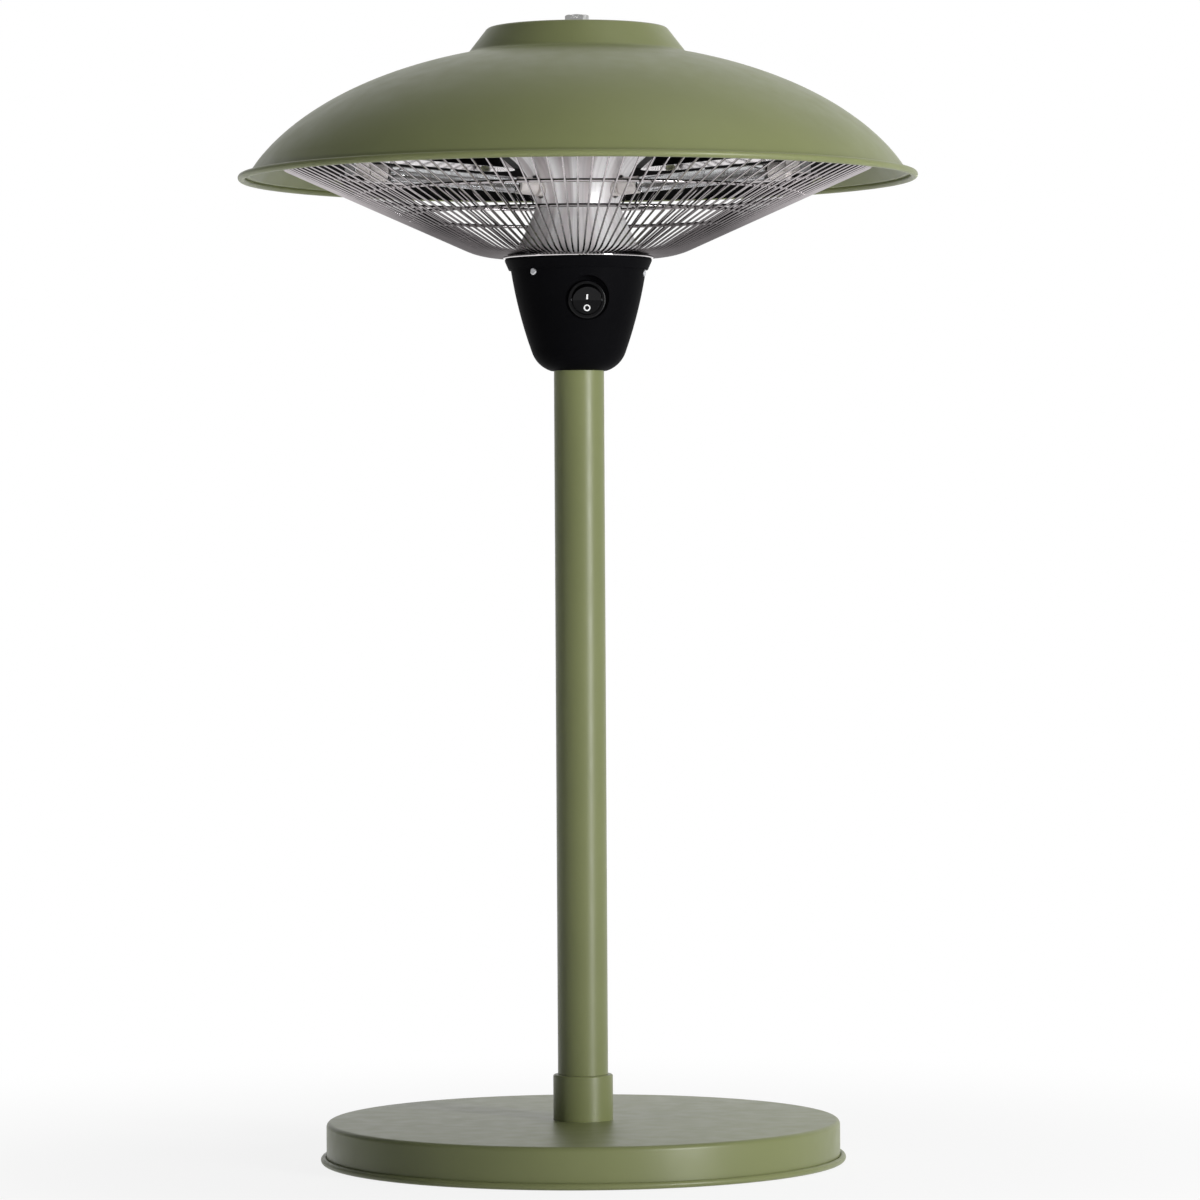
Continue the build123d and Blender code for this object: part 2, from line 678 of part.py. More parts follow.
def make_rod():
    """Tie rod that clamps the head together, with its nuts and spacer."""
    lid_under = z_lid - lid_thick
    low_end = lid_under - rod_nut_height - 1.0
    top_end = z_crown + top_nut_height - 0.6
    rod = upright(rod_r, low_end, top_end)
    keep("tie_rod", chamfer(rod.edges().group_by(Axis.Z)[-1], 0.6))
    keep("rod_nut", hexagon_nut(rod_nut_flats, rod_nut_height, rod_r + fit, lid_under - rod_nut_height))

    flange_top = z_crown + top_flange_thick
    flange = turned_outline((rod_r + fit, z_crown), (top_flange_r - 0.2, z_crown),
                            (top_flange_r, z_crown + 0.4), (top_flange_r, flange_top - 0.9),
                            (rod_nut_flats / 2, flange_top), (rod_r + fit, flange_top))
    body = hexagon_nut(rod_nut_flats, top_nut_height - 0.4, rod_r + fit, z_crown + 0.4)
    keep("top_nut", flange + body)

    shield_under = z_guard_shield() + shield_rise
    low = ring(inner_spacer_r, rod_hole_r, z_lid, z_plate)
    middle = ring(inner_spacer_r, rod_hole_r, z_plate_top, shield_under)
    top = ring(rod_spacer_r, rod_hole_r, shield_under + shield_sheet, z_crown - hood_wall)
    keep("rod_spacers", Compound(children=[low, middle, top]))

    plate = ring(waist_r - 2 * column_sheet - fit - seat, rod_hole_r, z_plate, z_plate_top)
    for angle in spread(lamp_count, lamp_first_angle):
        plate -= Rot(0, 0, angle) * upright(lead_r + seat, z_plate - 1, z_plate_top + 1, lead_end_r)
    keep("holder_plate", plate)


def lamp_place(angle):
    """Place of a lamp's own frame: X runs outwards along the lamp and rises by its tilt."""
    return Rot(0, 0, angle) * Pos(lamp_centre_r, 0, z_lamp) * Rot(0, -lamp_tilt, 0)


def along(radius, start, end):
    """Rod along a lamp's own X axis."""
    return Pos(start, 0, 0) * Rot(0, 90, 0) * Cylinder(radius, end - start,
                                                       align=(Align.CENTER, Align.CENTER, Align.MIN))


def long_dish(length, half_width, narrowing, height):
    """Solid block with rounded ends that narrows upwards from the ground plane."""
    low = SlotOverall(length, 2 * half_width)
    high = Pos(0, 0, height) * SlotOverall(length - 2 * narrowing, 2 * (half_width - narrowing))
    return loft([low, high], ruled=True)


def make_lamps():
    """Lamps with their caps, holders, brackets and reflector channels."""
    angles = spread(lamp_count, lamp_first_angle)
    half = lamp_length / 2
    glass_end = half - lamp_cap_length
    tube = along(quartz_r, -glass_end, glass_end)
    tube -= along(quartz_r - quartz_wall, -glass_end + 2.0, glass_end - 2.0)
    names = ("left", "right", "rear")
    for name, angle in zip(names, angles):
        keep("lamp_tube_" + name, lamp_place(angle) * tube)

    filament = along(filament_r, -glass_end + 2.0, glass_end - 2.0)
    keep("lamp_filaments", Compound(children=[lamp_place(a) * filament for a in angles]))

    caps = []
    cap = along(cap_r, glass_end, half) - along(contact_r + seat, half - contact_recess, half + 1)
    for angle in angles:
        caps.append(lamp_place(angle) * cap)
        caps.append(lamp_place(angle) * Rot(0, 180, 0) * cap)
    keep("lamp_caps", Compound(children=caps))

    inner_end = -half - holder_gap
    pin = along(contact_r, inner_end - 2.0, contact_recess - half)
    body = block((holder_inner_start, holder_inner_end), (-holder_width / 2, holder_width / 2),
                 (z_plate_top, z_plate_top + holder_height))
    boss = along(holder_boss_r, holder_inner_end - lamp_centre_r - 4.0, inner_end)
    inner = [Rot(0, 0, a) * body + lamp_place(a) * (boss + pin) for a in angles]
    keep("lamp_holders_inner", Compound(children=inner))

    shield_under = z_guard_shield() + shield_rise
    pin = along(contact_r, half - contact_recess, half + holder_gap + 2.0)
    face_r = holder_face_r
    end_z = z_lamp + half * sin(radians(lamp_tilt))
    low = end_z - 2.0
    high = low + holder_height
    body = block((face_r, face_r + holder_outer_length), (-holder_width / 2, holder_width / 2), (low, high))
    outer = [Rot(0, 0, a) * body + lamp_place(a) * pin for a in angles]
    keep("lamp_holders_outer", Compound(children=outer))

    back = holder_back_r - sheet
    bracket = block((back, back + sheet), (-holder_width / 2, holder_width / 2), (low, shield_under))
    bracket += block((face_r - 3.0, back), (-holder_width / 2, holder_width / 2),
                     (shield_under - sheet, shield_under))
    keep("holder_brackets", around(bracket, angles))

    channel_length = lamp_length - channel_inner_inset - channel_outer_inset
    channel_mid = (channel_inner_inset - channel_outer_inset) / 2
    narrowing = channel_half_low - channel_half_high
    dish = long_dish(channel_length, channel_half_low, narrowing, channel_high - channel_low)
    hollow = long_dish(channel_length - 2 * channel_sheet, channel_half_low - channel_sheet,
                       narrowing, channel_high - channel_low - channel_sheet)
    channel = Pos(channel_mid, 0, channel_low) * (dish - hollow)
    keep("lamp_reflectors", Compound(children=[lamp_place(a) * channel for a in angles]))

    studs = []
    stud_places = (channel_inner_inset + stud_inset - half, half - channel_outer_inset - stud_inset)
    for angle in angles:
        for x in stud_places:
            high = channel_high + x * tan(radians(lamp_tilt)) + seat + stud_r * tan(radians(lamp_tilt))
            stud = upright(stud_r, z_lamp + high, shield_under, lamp_centre_r + x)
            studs.append(Rot(0, 0, angle) * stud)
    keep("reflector_studs", Compound(children=studs))


def make_shield():
    """Black heat shield that closes the top of the lamp chamber."""
    rim_z = z_guard_shield()
    flat_z = rim_z + shield_rise
    t = shield_sheet
    step_r = shield_flat_r + shield_step
    shield = turned_outline((rod_hole_r, flat_z), (shield_flat_r, flat_z), (step_r, rim_z),
                            (shield_rim_r, rim_z), (shield_rim_r, rim_z + t), (step_r + t / 2, rim_z + t),
                            (shield_flat_r + t / 2, flat_z + t), (rod_hole_r, flat_z + t))
    for angle in clip_angles:
        shield -= Rot(0, 0, angle) * upright(screw_r + fit, rim_z - 1, rim_z + 2, clip_screw_r())
    keep("heat_shield", shield)


def clip_screw_r():
    """Distance of the guard clips' screws from the axis, clear of the rim ring."""
    return guard_ring_centre(guard_rim_r - 2.0, rim_ring_r)[0] - rim_ring_r - screw_head_r - 0.5


def guard_line_z(r):
    """Height of the straight part of a guard wire's centre line at a radius."""
    return z_guard_rim - (guard_rim_r - r) * tan(radians(guard_slope))


def guard_ring_centre(r, radius):
    """Centre of a ring's section that lies on the inside of the wires at a radius."""
    return shifted((r, guard_line_z(r)), guard_slope, wire_r + radius + weld_gap)


def make_guard():
    """Radial wires, their rings, and the clips that hold the rim to the heat shield."""
    line = FilletPolyline(rz((guard_foot_r, z_guard_foot)), rz((guard_corner_r, z_guard_foot)),
                          rz((guard_rim_r, z_guard_rim)), radius=guard_bend_r)
    section = Plane(origin=line @ 0, z_dir=line % 0) * Circle(wire_r)
    wire = sweep(section, path=line)
    keep("guard_wires", around(wire, spread(wire_count, -90.0)))

    rim = guard_ring_centre(guard_rim_r - 2.0, rim_ring_r)
    keep("guard_rim_ring", Pos(0, 0, rim[1]) * Torus(rim[0], rim_ring_r))
    rings = []
    for inset in mid_ring_insets:
        mid = guard_ring_centre(guard_rim_r - inset, ring_wire_r)
        rings.append(Pos(0, 0, mid[1]) * Torus(mid[0], ring_wire_r))
    keep("guard_rings", Compound(children=rings))

    tab_z = z_guard_shield() + shield_sheet
    side = (-clip_width / 2, clip_width / 2)
    screw_at = clip_screw_r()
    wall = max(shield_rim_r, guard_rim_r + 1.0) + seat
    hook_end = guard_rim_r - 6.0
    hook_top = guard_line_z(hook_end) - wire_r / cos(radians(guard_slope)) - seat
    clip = block((screw_at - 3.5, wall + clip_sheet), side, (tab_z, tab_z + clip_sheet))
    clip += block((wall, wall + clip_sheet), side, (hook_top - clip_sheet, tab_z + clip_sheet))
    clip += block((hook_end, wall + clip_sheet), side, (hook_top - clip_sheet, hook_top))
    clip -= upright(screw_r + fit, tab_z - 1, tab_z + clip_sheet + 1, screw_at)
    keep("guard_clips", around(clip, clip_angles))

    head_z = tab_z + clip_sheet
    screw = upright(screw_r, tab_z - shield_sheet - 2.5, head_z, screw_at)
    screw += upright(screw_head_r, head_z, head_z + screw_head_height, screw_at)
    keep("guard_clip_screws", around(screw, clip_angles))


def dome_height(r, a, b, centre_z):
    """Height of an ellipse of revolution at a radius."""
    return centre_z + b * sqrt(1 - (r / a) ** 2)


def make_hood():
    """Dome with a raised crown, a flat narrow brim and a rolled edge."""
    t = hood_wall
    a = mouth_r * dome_fullness
    foot_share = sqrt(1 - (crown_foot_r / a) ** 2)
    mouth_share = sqrt(1 - (mouth_r / a) ** 2)
    b = dome_rise / (foot_share - mouth_share)
    centre = z_mouth - b * mouth_share
    tangent = -degrees(atan(b / a * (crown_foot_r / a) / foot_share))
    foot = (crown_foot_r, z_crown_foot)
    side_low = (crown_top_r + crown_side_run, foot[1] + (crown_foot_r - crown_top_r - crown_side_run)
                * tan(radians(-tangent)))
    side_angle = degrees(atan((side_low[1] - z_crown) / crown_side_run))
    crown = FilletPolyline(rz((rod_hole_r, z_crown)), rz((crown_top_r, z_crown)), rz(side_low), rz(foot),
                           radius=[crown_edge_round, crown_foot_round])

    in_a, in_b = a - t, b - t
    in_foot = (crown_foot_r, dome_height(crown_foot_r, in_a, in_b, centre))
    under_top = (rod_hole_r, z_crown - t)
    side_point = shifted(side_low, side_angle, -t)
    in_top = meet(under_top, 0, side_point, side_angle)
    in_low = meet(side_point, side_angle, in_foot, tangent)
    in_crown = FilletPolyline(rz(in_foot), rz(in_low), rz(in_top), rz(under_top),
                              radius=[crown_foot_round + t, crown_edge_round - t])

    def dome_edge(a_len, b_len, start, end):
        """Part of an ellipse from one radius to another, through its middle radius."""
        middle = (start + end) / 2
        heights = [dome_height(r, a_len, b_len, centre) for r in (start, middle, end)]
        slopes = [(r / a_len) / sqrt(1 - (r / a_len) ** 2) * b_len / a_len for r in (start, end)]
        ends = [rz((start, heights[0])), rz((middle, heights[1])), rz((end, heights[2]))]
        sign = 1 if end > start else -1
        return Spline(*ends, tangents=[(sign, 0, -sign * slopes[0]), (sign, 0, -sign * slopes[1])])

    bead = (hood_r - rolled_edge_r, z_lip + rolled_edge_r)
    mouth = (mouth_r, z_mouth)
    run, drop = bead[0] - mouth[0], mouth[1] - bead[1]
    flare = -degrees(atan(drop / run))
    outer_end = shifted(bead, flare, rolled_edge_r * 0.6)
    inner_end = shifted(outer_end, flare, -t)
    brim_angle = degrees(atan((outer_end[1] - mouth[1]) / (outer_end[0] - mouth[0])))
    in_side = (mouth_r - t, dome_height(mouth_r - t, in_a, in_b, centre))
    in_side_angle = -degrees(atan(in_b / in_a * (in_side[0] / in_a) / sqrt(1 - (in_side[0] / in_a) ** 2)))
    in_mouth_r = meet(in_side, in_side_angle, shifted(mouth, brim_angle, -t), brim_angle)[0]
    in_mouth = (in_mouth_r, dome_height(in_mouth_r, in_a, in_b, centre))
    outer_dome = dome_edge(a, b, crown_foot_r, mouth_r)
    inner_dome = dome_edge(in_a, in_b, in_mouth_r, crown_foot_r)
    skirt = path(mouth, outer_end, inner_end, in_mouth)
    hole = path(under_top, (rod_hole_r, z_crown))
    hood = turned(crown, outer_dome, skirt, inner_dome, in_crown, hole)
    hood += Pos(0, 0, bead[1]) * Torus(bead[0], rolled_edge_r)
    keep("hood", hood)


def main():
    """Make every piece and write one file for each."""
    make_base()
    make_pole()
    make_housing()
    make_switch()
    make_controls()
    make_column()
    make_rod()
    make_lamps()
    make_shield()
    make_guard()
    make_hood()
    os.makedirs("parts", exist_ok=True)
    for name, shape in pieces.items():
        export_step(shape, "parts/" + name + ".step")
    print(len(pieces), "nodes")


main()
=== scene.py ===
"""Looks of the tabletop infrared patio heater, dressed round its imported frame.

Sizes in the classes are millimetres, as a maker would write them, and meshes are built in metres.
The studio's sizes are metres. The heater stands on the floor with its pole on the Z axis, and its
switch faces the front, -Y.
"""

from __future__ import annotations

import logging
import math
from dataclasses import dataclass
from enum import Enum
from typing import Sequence

import bmesh
import bpy
from mathutils import Matrix, Quaternion, Vector

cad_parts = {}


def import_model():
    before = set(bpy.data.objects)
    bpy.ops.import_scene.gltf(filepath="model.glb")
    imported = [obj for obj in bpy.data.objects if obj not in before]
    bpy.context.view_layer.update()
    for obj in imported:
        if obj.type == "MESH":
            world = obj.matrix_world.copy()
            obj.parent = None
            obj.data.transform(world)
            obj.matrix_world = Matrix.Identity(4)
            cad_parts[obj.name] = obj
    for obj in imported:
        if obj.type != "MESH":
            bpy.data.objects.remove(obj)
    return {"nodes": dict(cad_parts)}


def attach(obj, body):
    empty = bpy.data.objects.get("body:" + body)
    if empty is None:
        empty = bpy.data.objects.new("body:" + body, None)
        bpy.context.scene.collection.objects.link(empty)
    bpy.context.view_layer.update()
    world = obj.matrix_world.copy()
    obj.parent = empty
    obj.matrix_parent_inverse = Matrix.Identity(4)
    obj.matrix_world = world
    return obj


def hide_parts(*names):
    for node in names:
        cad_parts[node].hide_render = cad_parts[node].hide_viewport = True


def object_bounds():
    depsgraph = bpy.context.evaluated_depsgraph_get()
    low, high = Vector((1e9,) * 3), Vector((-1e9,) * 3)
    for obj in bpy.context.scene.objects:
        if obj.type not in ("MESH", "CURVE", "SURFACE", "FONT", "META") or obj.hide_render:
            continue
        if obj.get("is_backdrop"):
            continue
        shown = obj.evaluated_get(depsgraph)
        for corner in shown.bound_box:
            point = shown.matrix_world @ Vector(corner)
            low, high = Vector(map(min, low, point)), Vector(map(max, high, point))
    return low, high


LOG = logging.getLogger("patio_heater")
MM = 0.001
FIXED_BODY = "heater"
TURN = 2 * math.pi
TINY = 1e-6
SHARP_ABOVE = math.radians(40.0)

Colour = tuple[float, float, float]
Point = tuple[float, float, float]
Flat = tuple[float, float]
Range = tuple[float, float]
Socket = bpy.types.NodeSocket
Work = bmesh.types.BMesh
Row = Sequence[bmesh.types.BMVert]

BLACK: Colour = (0.0, 0.0, 0.0)
WHITE: Colour = (1.0, 1.0, 1.0)
FULL: Range = (0.0, 1.0)
NOISE_SPAN: Range = (0.3, 0.7)


class Layout(Enum):
    """What a noise is laid out by."""

    PLACE = "place on the piece"
    ROUND = "distance from the heater's axis and height, for marks that run round it"
    UPRIGHT = "direction from the heater's axis, for marks that run up and down"


@dataclass(frozen=True)
class Noise:
    """A noise that a finish follows.

    Attributes:
        spacing: Rough distance between its lumps, in millimetres.
        detail: Octaves of finer noise on top.
        roughness: Share that each finer octave keeps.
        layout: What it is laid out by.
    """

    spacing: float
    detail: float = 2.0
    roughness: float = 0.5
    layout: Layout = Layout.PLACE


# Shader building


class Wiring:
    """A node tree with short ways to add nodes and join them."""

    def __init__(self, tree: bpy.types.NodeTree) -> None:
        """Start with a tree, which loses the nodes it has."""
        self.tree = tree
        tree.nodes.clear()

    def fill(self, node: bpy.types.Node, inputs: dict[str | int, object]) -> None:
        """Set a node's inputs, or join them where a socket is given.

        Args:
            node: The node.
            inputs: Plain values or sockets, by the inputs' names or numbers.
        """
        for key, given in inputs.items():
            if isinstance(given, Socket):
                self.tree.links.new(given, node.inputs[key])
            else:
                node.inputs[key].default_value = given

    def node(self, kind: str, inputs: dict[str | int, object], **settings: str) -> bpy.types.Node:
        """Add a node.

        Args:
            kind: Its type, without the word ShaderNode in front.
            inputs: What fills its inputs, plain values or sockets.
            settings: The node's own settings.

        Returns:
            The node.
        """
        node = self.tree.nodes.new("ShaderNode" + kind)
        for key, setting in settings.items():
            setattr(node, key, setting)
        self.fill(node, inputs)
        return node

    def between(self, value: Socket, to: Range, within: Range = NOISE_SPAN, curve: str = "LINEAR") -> Socket:
        """Map a value onto a range.

        Args:
            value: Socket to read.
            to: Results at both ends.
            within: Values that give them.
            curve: How the result runs from one end to the other.

        Returns:
            The mapped value's socket.
        """
        ends = {"From Min": within[0], "From Max": within[1], "To Min": to[0], "To Max": to[1]}
        return self.node("MapRange", {"Value": value, **ends}, interpolation_type=curve).outputs["Result"]

    def joined(self, operation: str, first: Socket, second: Socket) -> Socket:
        """Work one value out of two, by the name of an operation."""
        return self.node("Math", {0: first, 1: second}, operation=operation).outputs[0]

    def mixed(self, share: Socket, first: Socket, second: Socket) -> Socket:
        """Mix two shaders by a share from 0, the first, to 1, the second."""
        return self.node("MixShader", {0: share, 1: first, 2: second}).outputs[0]

    def seen_by(self, *rays: str) -> Socket:
        """Tell light paths of some kinds from the others.

        Args:
            rays: The kinds, by Blender's names.

        Returns:
            Socket of a value that is 1 for these kinds and 0 for the others.
        """
        paths = self.node("LightPath", {}).outputs
        share = paths[f"Is {rays[0]} Ray"]
        for ray in rays[1:]:
            share = self.joined("MAXIMUM", share, paths[f"Is {ray} Ray"])
        return share


class NodeSheet(Wiring):
    """A material with one Principled shader, and short ways to add what the finishes share."""

    def __init__(self, name: str) -> None:
        """Start the material.

        Args:
            name: The material's name.
        """
        self.material = bpy.data.materials.new(name)
        self.material.use_nodes = True
        super().__init__(self.material.node_tree)
        self.shader = self.node("BsdfPrincipled", {})
        self.node("OutputMaterial", {"Surface": self.shader.outputs["BSDF"]})

    def place(self, layout: Layout) -> Socket:
        """Give the place that a noise is laid out by.

        Args:
            layout: What it is laid out by.

        Returns:
            Socket of the place in metres.
        """
        here = self.node("TexCoord", {}).outputs["Object"]
        if layout is Layout.PLACE:
            return here
        axes = self.node("SeparateXYZ", {"Vector": here}).outputs
        flat = self.node("CombineXYZ", {"X": axes["X"], "Y": axes["Y"]}).outputs["Vector"]
        if layout is Layout.UPRIGHT:
            return self.node("VectorMath", {0: flat}, operation="NORMALIZE").outputs["Vector"]
        reach = self.node("VectorMath", {0: flat}, operation="LENGTH").outputs["Value"]
        return self.node("CombineXYZ", {"X": reach, "Z": axes["Z"]}).outputs["Vector"]

    def noise(self, noise: Noise) -> Socket:
        """Add a noise, whose value runs from 0 to 1."""
        inputs = {"Scale": 1.0 / (noise.spacing * MM), "Detail": noise.detail, "Roughness": noise.roughness,
                  "Vector": self.place(noise.layout)}
        return self.node("TexNoise", inputs).outputs["Fac"]

    def blend(self, share: Socket, first: Colour | Socket, second: Colour) -> Socket:
        """Mix two colours by a share from 0, the first, to 1, the second."""
        ends = {"A": first if isinstance(first, Socket) else (*first, 1.0), "B": (*second, 1.0)}
        return self.node("Mix", {"Factor": share, **ends}, data_type="RGBA").outputs["Result"]

    def darkened(self, colour: Socket, noise: Noise, most: float, within: Range = NOISE_SPAN) -> Socket:
        """Darken a colour where a noise is high.

        Args:
            colour: The colour before darkening.
            noise: Where the darkening lies.
            most: Share of black where it is strongest.
            within: Values of the noise where it starts and where it is strongest.

        Returns:
            The darkened colour's socket.
        """
        # Used for the painted reflection streaks on bright sheet, and for random darkening of the wire.
        return self.blend(self.between(self.noise(noise), (0.0, most), within), colour, BLACK)

    def bump(self, noise: Noise, depth: float, **under: Socket) -> Socket:
        """Add a bump.

        Args:
            noise: The noise that gives its height.
            depth: Its depth in millimetres.
            under: Normal of a coarser bump below this one.

        Returns:
            The bumped normal's socket.
        """
        inputs = {"Distance": depth * MM, "Strength": 1.0, "Height": self.noise(noise), **under}
        return self.node("Bump", inputs).outputs["Normal"]


# Finishes


def lighter(colour: Colour, factor: float) -> Colour:
    """Scale a colour, kept within what a surface can reflect."""
    return tuple(min(1.0, part * factor) for part in colour)  # type: ignore[return-value]


@dataclass(frozen=True)
class Finish:
    """A surface finish, whose colour, roughness and relief each follow a noise.

    Attributes:
        name: The material's name.
        shade: Its colour.
        roughness: Roughness at both ends of the smears.
        tints: Factors on the colour at both ends of the clouds.
        clouds: Noise of the colour.
        cloud_span: Values of that noise where the clouds end.
        smears: Noise of the roughness.
        grain: Noise of the relief.
        depth: Depth of the relief in millimetres.
        metal: Share of bare metal.
        gloss: Strength of the reflection on what is not metal.
        slot: Name of a material slot; nothing in this script reads it.
    """

    name: str
    shade: Colour
    roughness: Range
    tints: Range = (1.0, 1.0)
    clouds: Noise = Noise(30.0, 3.0)
    cloud_span: Range = NOISE_SPAN
    smears: Noise = Noise(9.0, 3.0)
    grain: Noise = Noise(0.5)
    depth: float = 0.02
    metal: float = 0.0
    gloss: float = 0.5
    slot: str = ""

    def colour(self, sheet: NodeSheet) -> Socket:
        """Cloud the colour."""
        share = sheet.between(sheet.noise(self.clouds), FULL, self.cloud_span)
        return sheet.blend(share, lighter(self.shade, self.tints[0]), lighter(self.shade, self.tints[1]))

    def relief(self, sheet: NodeSheet) -> Socket:
        """Raise the grain."""
        return sheet.bump(self.grain, self.depth)

    def lay(self, sheet: NodeSheet) -> None:
        """Lay the finish on a sheet's shader."""
        smeared = sheet.between(sheet.noise(self.smears), self.roughness)
        sheet.fill(sheet.shader, {"Base Color": self.colour(sheet), "Roughness": smeared,
                                  "Metallic": self.metal, "Specular IOR Level": self.gloss,
                                  "Normal": self.relief(sheet)})

    def material(self) -> bpy.types.Material:
        """Build the material.

        Returns:
            The material.
        """
        sheet = NodeSheet(self.name)
        self.lay(sheet)
        return sheet.material


@dataclass(frozen=True)
class StovedPaint(Finish):
    """Satin stoved paint on sheet steel: fine orange peel, a slight drift in shade and faint smears."""

    roughness: Range = (0.34, 0.41)
    tints: Range = (0.95, 1.05)
    clouds: Noise = Noise(90.0, 3.0)
    smears: Noise = Noise(14.0, 4.0)
    grain: Noise = Noise(1.1, 1.0)
    depth: float = 0.012
    gloss: float = 0.38
    waves: Noise = Noise(6.6, 1.0)
    wave_depth: float = 0.024

    def relief(self, sheet: NodeSheet) -> Socket:
        """Raise the peel on top of coarser waves."""
        return sheet.bump(self.grain, self.depth, Normal=sheet.bump(self.waves, self.wave_depth))


@dataclass(frozen=True)
class HeatEnamel(Finish):
    """Matt black heat-resistant enamel with a faint sandy grain."""

    roughness: Range = (0.62, 0.75)
    tints: Range = (1.0, 1.6)
    clouds: Noise = Noise(25.0, 4.0)
    smears: Noise = Noise(6.0)
    gloss: float = 0.08


@dataclass(frozen=True)
class BrightMetal(Finish):
    """Bright metal, plated or polished, with faint stains and the lines of its making."""

    tints: Range = (0.94, 1.0)
    metal: float = 1.0


@dataclass(frozen=True)
class PaintedStreakSheet(Finish):
    """Bright sheet with slight waves that run along its height, and soft streaks up and down it painted into
    its colour as painted reflections.

    The noises' spacings are what they would be one metre from the axis.
    """

    clouds: Noise = Noise(1000.0 / 3, 1.0, layout=Layout.UPRIGHT)
    cloud_span: Range = (0.42, 0.56)
    smears: Noise = Noise(250.0 / 3, layout=Layout.UPRIGHT)
    grain: Noise = Noise(1000.0 / 3, 1.0, layout=Layout.UPRIGHT)
    depth: float = 0.10
    metal: float = 0.5
    # painted_dark: the dark end of the painted reflection streaks
    painted_dark: Colour = (0.58, 0.53, 0.54)
    # darkening: share of black in the finer streaks, also painted reflections
    darkening: float = 0.22
    darkening_span: Range = (0.45, 0.7)

    def colour(self, sheet: NodeSheet) -> Socket:
        """Paint reflections as wide streaks from bright to dark, with finer darker ones in them."""
        share = sheet.between(sheet.noise(self.clouds), FULL, self.cloud_span)
        return sheet.darkened(sheet.blend(share, self.painted_dark, self.shade), self.smears, self.darkening, self.darkening_span)


@dataclass(frozen=True)
class PlatedWire(Finish):
    """Plated wire, bright towards the rim and darker towards the guard's foot as a painted shade, with a
    little random darkening.
    """

    roughness: Range = (0.12, 0.168)
    clouds: Noise = Noise(8.0, 3.0)
    smears: Noise = Noise(5.0)
    grain: Noise = Noise(2.5)
    depth: float = 0.0005
    metal: float = 1.0
    # painted_dark and painted_dark_within: the painted shade towards the guard's foot
    painted_dark: Colour = (0.14, 0.129, 0.132)
    painted_dark_within: float = 95.0
    bright_beyond: float = 150.0
    darkening: float = 0.12

    def colour(self, sheet: NodeSheet) -> Socket:
        """Darken the wire towards the guard's foot as a painted shade, and a little at random all over.

        Args:
            sheet: The sheet to add nodes to.

        Returns:
            The colour's socket.
        """
        reach = sheet.node("SeparateXYZ", {"Vector": sheet.place(Layout.ROUND)}).outputs["X"]
        share = sheet.between(reach, FULL, (self.painted_dark_within * MM, self.bright_beyond * MM))
        return sheet.darkened(sheet.blend(share, self.painted_dark, self.shade), self.clouds, self.darkening)


@dataclass(frozen=True)
class MouldedPlastic(Finish):
    """Moulded plastic with the fine grain of an etched tool."""

    tints: Range = (1.0, 1.25)
    clouds: Noise = Noise(40.0, 3.0)
    smears: Noise = Noise(7.0, 3.0)
    grain: Noise = Noise(0.45)
    depth: float = 0.01


@dataclass(frozen=True)
class FiredCeramic(Finish):
    """Unglazed ceramic: warm white, with darker specks and fine pits."""

    roughness: Range = (0.5, 0.65)
    tints: Range = (1.0, 0.82)
    clouds: Noise = Noise(1.6, 5.0, 0.7)
    cloud_span: Range = (0.55, 0.8)
    smears: Noise = Noise(3.0)
    grain: Noise = Noise(0.35, 3.0)


@dataclass(frozen=True)
class QuartzGlass(Finish):
    """Clear quartz with a faint waviness from drawing."""

    roughness: Range = (0.0, 0.02)
    tints: Range = (0.97, 1.0)
    clouds: Noise = Noise(12.0, 3.0)
    smears: Noise = Noise(12.0, 3.0)
    grain: Noise = Noise(5.0, 1.0)
    refraction: float = 1.46

    def lay(self, sheet: NodeSheet) -> None:
        """Lay the finish on a sheet's shader, and let light through."""
        super().lay(sheet)
        sheet.fill(sheet.shader, {"Transmission Weight": 1.0, "IOR": self.refraction})


@dataclass(frozen=True)
class SoftRubber(Finish):
    """Black rubber with a chalky bloom."""

    roughness: Range = (0.68, 0.82)
    tints: Range = (1.0, 2.2)
    clouds: Noise = Noise(4.0, 5.0)
    smears: Noise = Noise(4.0, 5.0)
    grain: Noise = Noise(0.6)
    depth: float = 0.03


@dataclass(frozen=True)
class RoughCasting(Finish):
    """Raw grey iron from a sand mould."""

    roughness: Range = (0.55, 0.75)
    tints: Range = (1.0, 1.5)
    clouds: Noise = Noise(28.0, 4.0)
    smears: Noise = Noise(2.2, 6.0, 0.7)
    grain: Noise = Noise(2.2, 6.0, 0.7)
    depth: float = 0.3
    metal: float = 0.6


OLIVE = StovedPaint("olive_stoved_paint", (0.208637, 0.230740, 0.097587), slot="olive_paint")
ENAMEL = HeatEnamel("black_heat_enamel", (0.003, 0.003, 0.003), slot="black_enamel")
WIRE = PlatedWire("plated_wire", (0.54, 0.505, 0.515), slot="chrome_wire")
MIRROR = BrightMetal("polished_sheet", (0.90, 0.87, 0.88), (0.07, 0.0945),
                     grain=Noise(14.0, layout=Layout.ROUND), depth=0.001)
SPUN = PaintedStreakSheet("spun_sheet", (0.98, 0.96, 0.97), (0.30, 0.39))
BELL = PaintedStreakSheet("bell_sheet", (0.98, 0.96, 0.97), (0.42, 0.546), metal=0.05, painted_dark=(0.80, 0.75, 0.76),
                   slot="polished_metal")
CHROMED = BrightMetal("chromed_steel", (0.97, 0.97, 0.95), (0.06, 0.081), (0.98, 1.0),
                      grain=Noise(4.0), depth=0.5)
ZINC = BrightMetal("bright_zinc", (0.66, 0.67, 0.70), (0.26, 0.351), (0.88, 1.0),
                   grain=Noise(0.7), depth=0.006)
